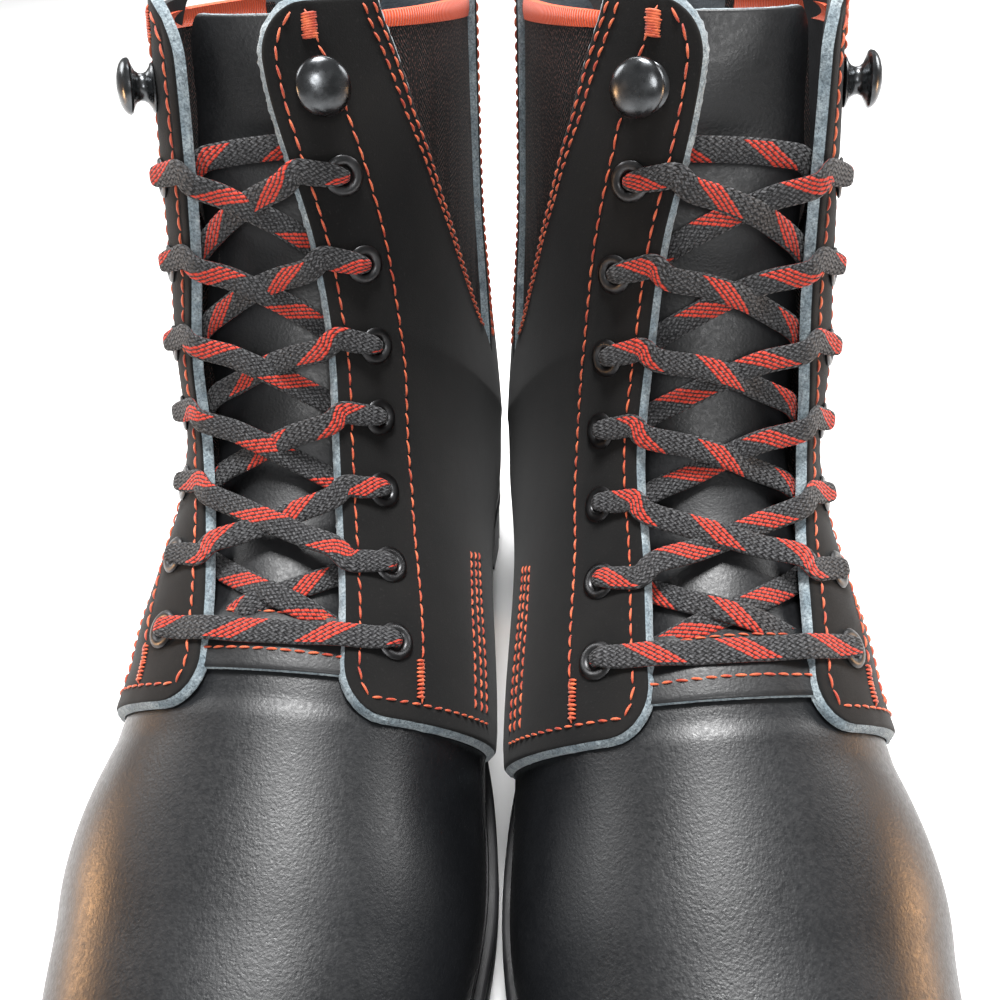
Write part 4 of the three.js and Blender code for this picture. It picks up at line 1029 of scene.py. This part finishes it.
def hook(boot, side):
    """Speed hook: a flanged foot, a waisted neck and a domed head."""
    u = np.array([HOOK_ROW])  # one hook, on the eyelets' line
    s = (facing(boot, side, u) + EYELET_INSET) * side
    dome = [[5.9 * math.cos(a), 5.5 + 2.5 * math.sin(a)] for a in np.linspace(0.12, 1.45, 12)]
    profile = [[0.3, -3.4], [3.0, -3.4], [3.0, -2.7], [1.5, -2.6], [1.5, -0.1], [5.0, 0.0], [5.3, 0.25],
               [5.1, 0.6], [4.2, 0.95], [3.3, 1.6], [2.9, 2.4], [2.9, 3.2], [3.4, 4.0], [4.8, 4.7],
               [5.7, 5.0], [5.95, 5.4], *dome]
    points, faces = turned(profile, seats(boot, u, s, 0.05), 48, False)
    name = SIDE_NAME[side]
    thing = piece(f"{boot}_speed_hook_{name}", f"{boot}_boot", points, faces, [HOOK_METAL])
    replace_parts(thing, f"{boot}_hook_{name}")
    return thing


# ---- laces -----------------------------------------------------------------------------------------
LACE_HALF, LACE_THICK = 2.8, 0.72  # half width and half thickness
LACE_STEP = 0.9  # between rings of the lace
OVER, UNDER = 1.0, -4.6  # heights over and behind a facing
FLAT, NARROW = 1.0, 0.52  # shares of the lace's width, in the open and in an eyelet


def into_eyelet(boot, u, side):
    """Stops over the facing, over the ring and down through it: section, distance, offset, width."""
    edge = facing(boot, side, np.array(u))
    stops = [(0.6, OVER, FLAT), (4.5, OVER, FLAT), (7.6, 1.7, 0.95), (9.6, 2.3, 0.78), (10.9, 1.2, NARROW),
             (11.3, -1.4, NARROW), (10.9, -3.9, NARROW), (8.6, UNDER - 0.3, 0.8), (4.5, UNDER, FLAT)]
    return [(u, side * (edge + d), off, w) for d, off, w in stops]


def across_gap(boot, u0, side0, off0, u1, side1, off1, above):
    """Stops over the tongue between two facing edges, straight or resting on the tongue, raised to pass
    above another strand."""
    e0 = side0 * (facing(boot, side0, np.array(u0)) - 2.5)
    e1 = side1 * (facing(boot, side1, np.array(u1)) - 2.5)
    a, _ = skin(np.array(mix(u0, u1, 0.16)), np.array(e0), np.array(off0))
    b, _ = skin(np.array(mix(u0, u1, 0.84)), np.array(e1), np.array(off1))
    stops = [(mix(u0, u1, 0.16), e0, off0, FLAT)]
    for t in (0.25, 0.42, 0.58, 0.75):
        u, s = mix(u0, u1, mix(0.16, 0.84, t)), mix(e0, e1, t)
        base, out = skin(np.array(u), np.array(s), np.array(0.0))
        chord = float(np.dot(mix(a, b, t) - base, out))
        rest = float(tongue_offset(boot, np.array(u), np.array(s))) + LACE_THICK + 0.3
        hump = 1.5 * above * math.exp(-((t - 0.5) / 0.2) ** 2)
        stops.append((u, s, max(chord, rest) + hump, FLAT))
    return stops + [(mix(u0, u1, 0.84), e1, off1, FLAT)]


def lace_route(boot, first):
    """One half of the lace: from the middle of the first bar up to its tucked end."""
    rows = EYELET_ROWS
    upper = 1 if boot == "right" else -1  # strands that start on this side pass above
    bar = across_gap(boot, rows[0], -first, OVER, rows[0], first, OVER, 0)
    stops = bar[3:] + into_eyelet(boot, rows[0], first)
    side = first
    stops += across_gap(boot, rows[0], side, UNDER, rows[1], -side, UNDER, side == upper)
    stops += into_eyelet(boot, rows[1], -side)[::-1]
    stops += across_gap(boot, rows[1], -side, OVER, rows[2], side, OVER, -side == upper)
    stops += into_eyelet(boot, rows[2], side)
    for i in range(2, EYELETS - 1):
        stops += across_gap(boot, rows[i], side, UNDER, rows[i + 1], -side, OVER, side == upper)
        side = -side
        stops += into_eyelet(boot, rows[i + 1], side)
    top = rows[-1]
    step = HOOK_ROW - top
    inset = EYELET_INSET + float(facing(boot, 1, np.array(top)))
    tuck = 6
    if side < 0:
        stops += across_gap(boot, top + step * 0.1, -1, UNDER, top + step * 0.3, 1, UNDER, 0)
        stops += [(top + step * 0.3, inset + d, UNDER + off, FLAT) for d, off in ((-8, -0.6), (3, -0.8))]
        tuck = 14
    return stops + [(top - step * k, inset + tuck + k, UNDER - 0.9, 0.7) for k in (0.1, 0.6, 1.2, 1.9)]


def smooth_path(points, step):
    """Centripetal Catmull-Rom curve through points, sampled evenly; returns points and knot positions."""
    p = np.concatenate([2 * points[:1] - points[1:2], points, 2 * points[-1:] - points[-2:-1]])
    gaps = np.sqrt(np.linalg.norm(np.diff(p, axis=0), axis=1)) + 1e-9
    t = np.concatenate([[0], np.cumsum(gaps)])
    x = np.linspace(0, 1, 25)[:-1]
    i = np.repeat(np.arange(1, len(p) - 2), len(x))
    v = t[i] + np.tile(x, len(p) - 3) * (t[i + 1] - t[i])

    def blend(a, b, ta, tb):
        """Straight blend of two rows of points between their own knots."""
        return a * ((tb - v) / (tb - ta))[:, None] + b * ((v - ta) / (tb - ta))[:, None]

    t0, t1, t2, t3 = t[i - 1], t[i], t[i + 1], t[i + 2]
    a1, a2 = blend(p[i - 1], p[i], t0, t1), blend(p[i], p[i + 1], t1, t2)
    a3 = blend(p[i + 1], p[i + 2], t2, t3)
    b1, b2 = blend(a1, a2, t0, t2), blend(a2, a3, t1, t3)
    dense = np.concatenate([blend(b1, b2, t1, t2), points[-1:]])
    knots = np.append(np.arange(len(points) - 1) * len(x), len(dense) - 1)
    gone = run_of(dense)
    even = np.arange(0, gone[-1], step)
    return read_rows(even, gone, dense), even, gone[knots]


def tape(path, out, width, half, thick, shape=14):
    """A flat section with rounded edges carried along a path, its face towards out where it can be."""
    along = unit(np.gradient(path, axis=0))
    across = np.cross(out, along)
    good = np.linalg.norm(across, axis=1) > 0.55
    across = unit(across)
    turn = np.ones(len(path))
    picked = np.flatnonzero(good)
    flips = np.sign(np.einsum("ij,ij->i", across[picked[1:]], across[picked[:-1]]))
    turn[picked] = np.concatenate([[1], np.cumprod(np.where(flips == 0, 1, flips))])
    across = across * turn[:, None]
    across = read_rows(np.arange(len(path)), picked, across[picked])
    across = unit(across - along * np.einsum("ij,ij->i", across, along)[:, None])
    face = np.cross(along, across)
    a = 2 * np.pi * (np.arange(shape) + 0.5) / shape
    c, s = np.cos(a), np.sin(a)
    w = np.sign(c) * np.abs(c) ** 0.7 * half
    h = np.sign(s) * np.abs(s) ** 0.8 * thick
    full = thick + (1 - width) * half * 0.55
    rings = path[:, None] + across[:, None] * (w[None] * width[:, None])[..., None] \
        + face[:, None] * (h[None] * (full / thick)[:, None])[..., None]
    return rings, a, w


def lace(boot):
    """The whole lace as one braid, its ends tucked behind the inner facing."""
    stops = lace_route(boot, -1)[::-1] + lace_route(boot, 1)
    u, s, off, wide = (np.array(v, float) for v in zip(*stops))
    knots, out = skin(u, s, off)
    path, even, knot_at = smooth_path(knots, LACE_STEP)
    normals = unit(read_rows(even, knot_at, out))
    rings, a, w = tape(path, normals, np.interp(even, knot_at, wide), LACE_HALF, LACE_THICK)
    n, k = rings.shape[:2]
    quads = grid_quads(n, k, True)
    caps = np.stack([np.arange(k)[::-1], np.arange(k) + (n - 1) * k])
    uv = np.stack([np.repeat(even[:, None], k, 1), np.repeat((np.sign(np.sin(a)) * w)[None], n, 0)], -1)
    thing = piece(f"{boot}_braided_lace", f"{boot}_boot", place(boot, rings.reshape(-1, 3)), [quads, caps],
                  [BRAID], uv=uv.reshape(-1, 2), crease=80)
    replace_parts(thing, f"{boot}_lace")
    print(f"{boot} lace length in its route: {even[-1]:.0f} mm")
    return thing


# ---- stitches --------------------------------------------------------------------------------------
STITCH_GRID = 6  # rings along a stitch, and corners round it


def stitch_row(boot, u, s, pitch=3.6, length=3.1, radius=0.27, offset=0.12, on_tongue=False):
    """Thread stitches along a line of (section, distance) points: each one a short bowed strand."""
    base = tongue_offset(boot, u, s) if on_tongue else 0 * u
    points, out = skin(u, s, base + offset)
    gone = run_of(points)
    count = max(int(gone[-1] / pitch), 1)
    middle = (np.arange(count) + 0.5) * gone[-1] / count
    at = read_rows(middle, gone, points)
    along = unit(read_rows(middle + 1, gone, points) - read_rows(middle - 1, gone, points))
    up = unit(read_rows(middle, gone, out))
    across = unit(np.cross(up, along))
    up = np.cross(along, across)
    slant = np.radians(chance.normal(5, 3, count))[:, None]
    cosine, sine = np.cos(slant), np.sin(slant)
    along, across = along * cosine + across * sine, across * cosine - along * sine
    t = np.linspace(-1, 1, STITCH_GRID)
    a = 2 * np.pi * np.arange(STITCH_GRID) / STITCH_GRID
    girth = radius * np.array([0.45, 0.95, 1.08, 1.08, 0.95, 0.45])
    bow = 0.3 * (1 - t**2) - 0.12
    half = (length / 2) * (1 + chance.normal(0, 0.05, count))
    ring = girth[:, None, None] * (np.cos(a)[None, :, None] * across[:, None, None, :]
                                   + np.sin(a)[None, :, None] * up[:, None, None, :])
    spine = at[:, None] + along[:, None] * (t[None, :, None] * half[:, None, None]) \
        + up[:, None] * bow[None, :, None]
    return place(boot, (spine[:, :, None] + ring).reshape(-1, 3)), count


def stitches(boot, rows):
    """All stitches of a boot as one piece."""
    each = STITCH_GRID * STITCH_GRID
    ring = np.arange(STITCH_GRID)
    one = [grid_quads(STITCH_GRID, STITCH_GRID, True), np.stack([ring[::-1], ring + each - STITCH_GRID])]
    points = np.concatenate([r[0] for r in rows])
    count = sum(r[1] for r in rows)
    shift = (np.arange(count) * each)[:, None, None]
    faces = [(f[None] + shift).reshape(-1, f.shape[1]) for f in one]
    return piece(f"{boot}_stitching", f"{boot}_boot", points, faces, [THREAD], crease=80)


def line(*stops):
    """A smooth line through chosen (section, distance) stops."""
    p = np.array(stops, float)
    t = np.linspace(0, 1, len(p))
    both = curve(np.concatenate([t[:, None], p], 1), np.linspace(0, 1, 160))
    return both[:, 0], both[:, 1]


def bartack(boot, u, s, run, wide=2.2):
    """A dense patch of short cross stitches along the leather's up direction."""
    rows = []
    step = 0.7
    for k in range(int(run / step)):
        v = u + k * step / SKIN_RUN
        rows.append(stitch_row(boot, np.array([v, v + 0.0002]), np.array([s - wide / 2, s + wide / 2]),
                               pitch=wide, length=wide, radius=0.33, offset=0.3))
    return rows


def boot_stitches(boot):
    """Every seam of a boot: facings, lower edges, wings, notches, bartacks, tongue and backstay."""
    rows = []
    for side in (1, -1):
        u = np.linspace(QUARTER_START + 0.009, COLLAR - 0.009, 300)
        first = facing_cut(boot, side, u) + SEAM_INSET
        rows.append(stitch_row(boot, u, first * side))
        v = np.linspace(QUARTER_START + 0.009, COLLAR - 0.006, 300)
        second = facing(boot, side, v) + seam_back(v)
        rows.append(stitch_row(boot, v, second * side))
        low = QUARTER_START + 0.0088
        far = 66 if side > 0 else 50
        start = float(facing_cut(boot, side, np.array(low))) + 3.4
        d = np.linspace(start, far, 60)
        rows.append(stitch_row(boot, low + 0 * d, d * side, pitch=3.1, length=2.3))
        w = np.linspace(0.668, COLLAR - 0.004, 200)
        for gap in (1.6, 4.2):
            for edge, away in ((1, -gap), (2, gap)):
                seam = notch_distance(w, side, edge) + away
                rows.append(stitch_row(boot, w, seam * side, pitch=2.9, length=2.3, radius=0.3))
        for gap in (0, 3.8, 7.6):
            wing = line((low + 0.004, far - 9 + gap), (0.325, far - 8 + gap), (0.36, far - 5 + gap),
                        (0.405, far + 2 + gap))
            rows.append(stitch_row(boot, wing[0], wing[1] * side, pitch=3.0, length=2.3))
        low_end = facing(boot, side, np.array(QUARTER_START + 0.012)) + seam_back(QUARTER_START)
        rows += bartack(boot, QUARTER_START + 0.012, side * float(low_end), 7)
        top_end = facing(boot, side, np.array(COLLAR - 0.02)) + seam_back(COLLAR - 0.015)
        rows += bartack(boot, COLLAR - 0.03, side * float(top_end), 7, 3.4)
    low = TONGUE_LOW[boot]
    for rise, inset in ((0.0095, 1.0), (0.034, -3)):
        reach = [facing(boot, side, np.array(low)) + inset for side in (-1, 1)]
        s = np.linspace(-float(reach[0]), float(reach[1]), 60)
        u = low + rise + 0.002 * np.cos(s / 14) + 0 * s
        rows.append(stitch_row(boot, u, s, pitch=3.0, length=2.5, on_tongue=True))
    for gap in (-8.2, 8.2):
        w = np.linspace(0.672, COLLAR - 0.008, 200)
        side = 1 if gap > 0 else -1
        rows.append(stitch_row(boot, w, side * (reach_at(w, side) - abs(gap)), offset=2.45, pitch=3.2))
    return stitches(boot, rows)


# ---- soles -----------------------------------------------------------------------------------------
SOLE_POINTS = 150
SOLE_SHARE = (1 - np.cos(np.pi * np.linspace(0, 1, SOLE_POINTS))) / 2


def sole_ring(reach):
    """Closed outline of the foot moved out by a reach: inner side from toe to heel, then back."""
    inner = np.stack([outline(SOLE_SHARE, 1), TOE_Y + LAST_LENGTH * SOLE_SHARE], -1)
    outer = np.stack([-outline(SOLE_SHARE, -1), TOE_Y + LAST_LENGTH * SOLE_SHARE], -1)
    ring = np.concatenate([inner, outer[-2:0:-1]])
    run = np.roll(ring, -1, 0) - np.roll(ring, 1, 0)
    out = unit(np.stack([run[:, 1], -run[:, 0]], -1))
    for _ in range(3):
        out = unit(0.5 * out + 0.25 * np.roll(out, 1, 0) + 0.25 * np.roll(out, -1, 0))
    return ring + out * reach


def share_of(y):
    """Share of the foot's length at a y, from the toe."""
    return np.clip((y - TOE_Y) / LAST_LENGTH, 0, 1)


def feather_at(y):
    """Height of the feather line at a y."""
    return curve(FEATHER, share_of(y))[..., 0]


def sole_layer(name, body, profile, materials, capped):
    """Rings of the outline at (reach, height function) stops. Capped layers are closed by strips across."""
    boot = name.split("_")[0]
    rings = []
    for reach, height in profile:
        ring = sole_ring(reach)
        rings.append(np.concatenate([ring, height(ring[:, 1])[:, None]], 1))
    n = len(rings[0])
    points = np.concatenate(rings)
    quads = grid_quads(len(rings), n, True)
    faces = [quads]
    if capped:
        k = np.arange(1, SOLE_POINTS - 1)
        left, right = k, (n - k) % n
        strip = np.stack([left[:-1], left[1:], right[1:], right[:-1]], -1)
        tips = np.array([[0, 1, n - 1], [SOLE_POINTS - 1, n - SOLE_POINTS + 2, SOLE_POINTS - 2]])
        last = (len(rings) - 1) * n
        faces[0] = np.concatenate([quads, strip[:, ::-1], strip + last])
        faces.append(np.concatenate([tips[:, ::-1], tips + last]))
    else:
        close = grid_quads(2, n, True)
        close = np.where(close < n, close + (len(rings) - 1) * n, close - n)
        faces[0] = np.concatenate([quads, close])
    return piece(name, body, place(boot, points), faces, materials)


def soles(boot):
    """Welt with its groove, midsole, outsole and heel, and the tread's lugs."""
    body = f"{boot}_boot"

    def under(drop):
        """A height function: this far below the feather line."""
        return lambda y: feather_at(y) - drop

    top, low, reach = GAP, GAP + WELT_THICK, WELT_REACH
    welt = sole_layer(f"{boot}_welt_strip", body, [
        (-8.5, under(top)), (0.6, under(top)), (2.0, under(top)), (2.3, under(top + 0.9)),
        (2.8, under(top + 0.9)), (3.1, under(top)), (4.6, under(top)), (5.2, under(top + 0.25)),
        (reach, under(top + 0.8)), (reach, under(low - 0.5)), (5.2, under(low)), (-8.5, under(low))],
        [WELT_RUBBER], False)
    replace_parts(welt, f"{boot}_welt")
    mid_top, mid_low = low + SOLE_JOINT, low + 2 * SOLE_JOINT + MIDSOLE_THICK
    midsole = sole_layer(f"{boot}_midsole_layer", body, [
        (4.4, under(mid_top)), (4.9, under(mid_top + 0.5)), (4.9, under(mid_low - 0.5)),
        (4.4, under(mid_low))], [SOLE_RUBBER], True)
    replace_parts(midsole, f"{boot}_midsole")
    out_top = mid_low + SOLE_JOINT

    def floor(y):
        """Height of the bottom of the grooves."""
        return np.minimum(ground(y) + TREAD_DEPTH, feather_at(y) - out_top - 2.5)

    outsole = sole_layer(f"{boot}_outsole_body", body, [
        (4.9, under(out_top)), (5.5, under(out_top + 0.6)), (5.5, under(out_top + 1.8)),
        (5.0, under(out_top + 2.2)), (5.2, lambda y: floor(y) + 0.1), (4.6, floor)],
        [SOLE_RUBBER], True)
    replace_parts(outsole, f"{boot}_outsole")
    lugs = tread_lugs(boot, floor)
    heel = heel_block(boot, out_top)
    return welt, midsole, outsole, lugs, heel


def ground(y):
    """Height of the lugs' feet at a y: the sole's spring from heel to toe."""
    return lines(TREAD, share_of(y))


def half_width(y, side, inset):
    """Half width of the sole at a y, drawn in by an inset."""
    return outline(share_of(y), side) + WELT_REACH - inset


def block(y0, y1, x0, x1, low, high, sweep):
    """A lug's upper and lower grids, drawn in towards the lower one, its ends slanted by a sweep."""
    t = np.linspace(0, 1, 6)
    w = np.linspace(0, 1, 5)
    y = mix(y0, y1, t)[:, None] + sweep * (w[None] - 0.5)
    x = mix(x0(y), x1(y), w[None] + 0 * y)
    top = np.stack([x, y, high(y)], -1)
    bottom = np.stack([mix(x, x.mean(), 0.06), mix(y, y.mean(), 0.1), low(y)], -1)
    return top, bottom


def tread_lugs(boot, floor):
    """Lugs between the grooves, in an outer and an inner row with a slanted row between them."""
    grooves = [-132, -112, -92, -72, -52, -32, -12, 4]
    margin = 2.6
    points, faces, start = [], [], 0
    for a, b in zip(grooves[:-1], grooves[1:]):
        spans = [(lambda y: -half_width(y, -1, 1.2), lambda y: -half_width(y, -1, 22), 0),
                 (lambda y: -half_width(y, -1, 26), lambda y: half_width(y, 1, 26), 5),
                 (lambda y: half_width(y, 1, 22), lambda y: half_width(y, 1, 1.2), 0)]
        for x0, x1, sweep in spans:
            lug, sides = solid(*block(a + margin, b - margin, x0, x1, ground, lambda y: floor(y) + 0.6,
                                      sweep))
            points.append(lug)
            faces.append(sides + start)
            start += len(lug)
    return piece(f"{boot}_tread_lugs", f"{boot}_boot", place(boot, np.concatenate(points)),
                 [np.concatenate(faces)], [SOLE_RUBBER], crease=35)


def heel_block(boot, out_top):
    """Heel: the outline behind the breast, with grooves cut across its foot."""
    front, curved, back = 64, 132, TOE_Y + LAST_LENGTH + WELT_REACH - 0.6
    y = np.concatenate([np.linspace(front, curved, 60),
                        back - (back - curved) * (1 - np.linspace(0, 1, 20)[1:]) ** 2])
    t = np.linspace(-1, 1, 25)
    grooves = np.min([np.abs(y - g) for g in (86, 106)], axis=0)
    low = np.where(grooves < 2.3, 4.0, 0.0)
    ring = sole_ring(WELT_REACH - 0.4)
    inner = ring[:SOLE_POINTS]
    outer = np.concatenate([ring[:1], ring[SOLE_POINTS - 1:][::-1]])[:SOLE_POINTS]
    x_in = np.interp(y, inner[:, 1], inner[:, 0])
    x_out = np.interp(y, np.sort(outer[:, 1]), outer[np.argsort(outer[:, 1]), 0])
    x = np.where(t > 0, x_in[:, None] * t, -x_out[:, None] * t)
    yy = np.repeat(y[:, None], len(t), 1)
    top = np.stack([x, yy, feather_at(yy) - out_top - 1.8], -1)
    bottom = np.stack([x * 0.985, yy, np.repeat(low[:, None], len(t), 1)], -1)
    points, faces = solid(top, bottom)
    thing = piece(f"{boot}_heel_lift", f"{boot}_boot", place(boot, points), [faces], [SOLE_RUBBER],
                  crease=35)
    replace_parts(thing, f"{boot}_heel_block")
    return thing


def footbed(boot):
    """Cushioned footbed: the outline drawn in, crowned at its edge and a little lower in its middle."""
    inset, low = -8.8, 2.6
    stops = ((-1.2, 0), (0, 0.8), (-0.1, 2.2), (-1.2, 3.1), (-3.5, 3.3), (-8, 3.0))
    profile = [(inset + reach, lambda y, rise=low + rise: feather_at(y) + rise) for reach, rise in stops]
    thing = sole_layer(f"{boot}_footbed_cushion", f"{boot}_boot", profile, [FOOTBED], True)
    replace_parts(thing, f"{boot}_footbed")
    return thing


# ---- putting it together ---------------------------------------------------------------------------
def dress(node, material):
    """Gives a carried-over node its finish."""
    thing = frame["nodes"][node]
    thing.data.materials.clear()
    thing.data.materials.append(material)


for boot in BOOTS:
    lace(boot)
    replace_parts(vamp(boot), f"{boot}_vamp")
    for name, side in SIDES.items():
        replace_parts(quarter(boot, side), f"{boot}_quarter_{name}")
        stay(boot, side)
        panel, _ = gore(boot, side)
        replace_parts(panel, f"{boot}_gore_{name}")
        gusset(boot, side)
        eyelets(boot, side)
        hook(boot, side)
    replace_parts(backstay(boot), f"{boot}_backstay")
    tongue(boot)
    boot_stitches(boot)
    soles(boot)
    footbed(boot)
    for node, material in (("toe_puff", BOARD), ("heel_counter", LINING), ("insole_board", BOARD),
                           ("cork_filler", CORK), ("shank", STEEL), ("aglet_inner", AGLET),
                           ("aglet_outer", AGLET)):
        dress(f"{boot}_{node}", material)


# ---- floor and light ---------------------------------------------------------------------------------
def floor_and_light():
    """A pale floor, a soft key from above, two fills, a front lamp, a lamp on the floor behind and two
    low warm lamps at the sides."""
    mesh = bpy.data.meshes.new("floor")
    size = 6.0
    corners = [(-size, -size, 0), (size, -size, 0), (size, size, 0), (-size, size, 0)]
    mesh.from_pydata(corners, [], [(0, 1, 2, 3)])
    floor = bpy.data.objects.new("floor", mesh)
    bpy.context.scene.collection.objects.link(floor)
    f = Finish("pale_floor", (0.9, 0.9, 0.9), 0.9, Specular_IOR_Level=0.1)
    mesh.materials.append(f.material)
    world = bpy.data.worlds.new("world")
    bpy.context.scene.world = world
    world.use_nodes = True
    sky = world.node_tree.nodes["Background"]
    sky.inputs["Color"].default_value = (1, 1, 1, 1)
    sky.inputs["Strength"].default_value = 0.3
    warm, white = (1.0, 0.55, 0.25), (1.0, 1.0, 1.0)
    # name, place, point aimed at, diameter, power, colour
    lights = [
        ("key", (0.0, 0.12, 1.0), (0, -0.03, 0.1), 0.34, 16.0, white),
        ("left_fill", (-1.1, 0.5, 0.8), (0, 0, 0.1), 0.6, 8.0, white),
        ("right_fill", (1.1, 0.5, 0.8), (0, 0, 0.1), 0.6, 8.0, white),
        ("front", (0.1, -0.62, 0.5), (0, 0, 0.13), 0.25, 2.2, white),
        ("back_floor", (0, 1.4, 1.3), (0, 1.3, 0), 1.0, 22, white),
        ("left_warm", (-0.75, 0.0, 0.1), (-0.1, -0.08, 0.06), 0.16, 1.6, warm),
        ("right_warm", (0.75, 0.0, 0.1), (0.1, -0.08, 0.06), 0.16, 1.6, warm),
    ]
    for name, at, target, width, power, tint in lights:
        data = bpy.data.lights.new(name, "AREA")
        data.shape = "DISK"
        data.size = width
        data.energy = power
        data.color = tint
        lamp = bpy.data.objects.new(name, data)
        bpy.context.scene.collection.objects.link(lamp)
        lamp.location = at
        lamp.rotation_euler = (Vector(target) - Vector(at)).to_track_quat("-Z", "Y").to_euler()
    bpy.context.scene.view_settings.view_transform = "Standard"


floor_and_light()
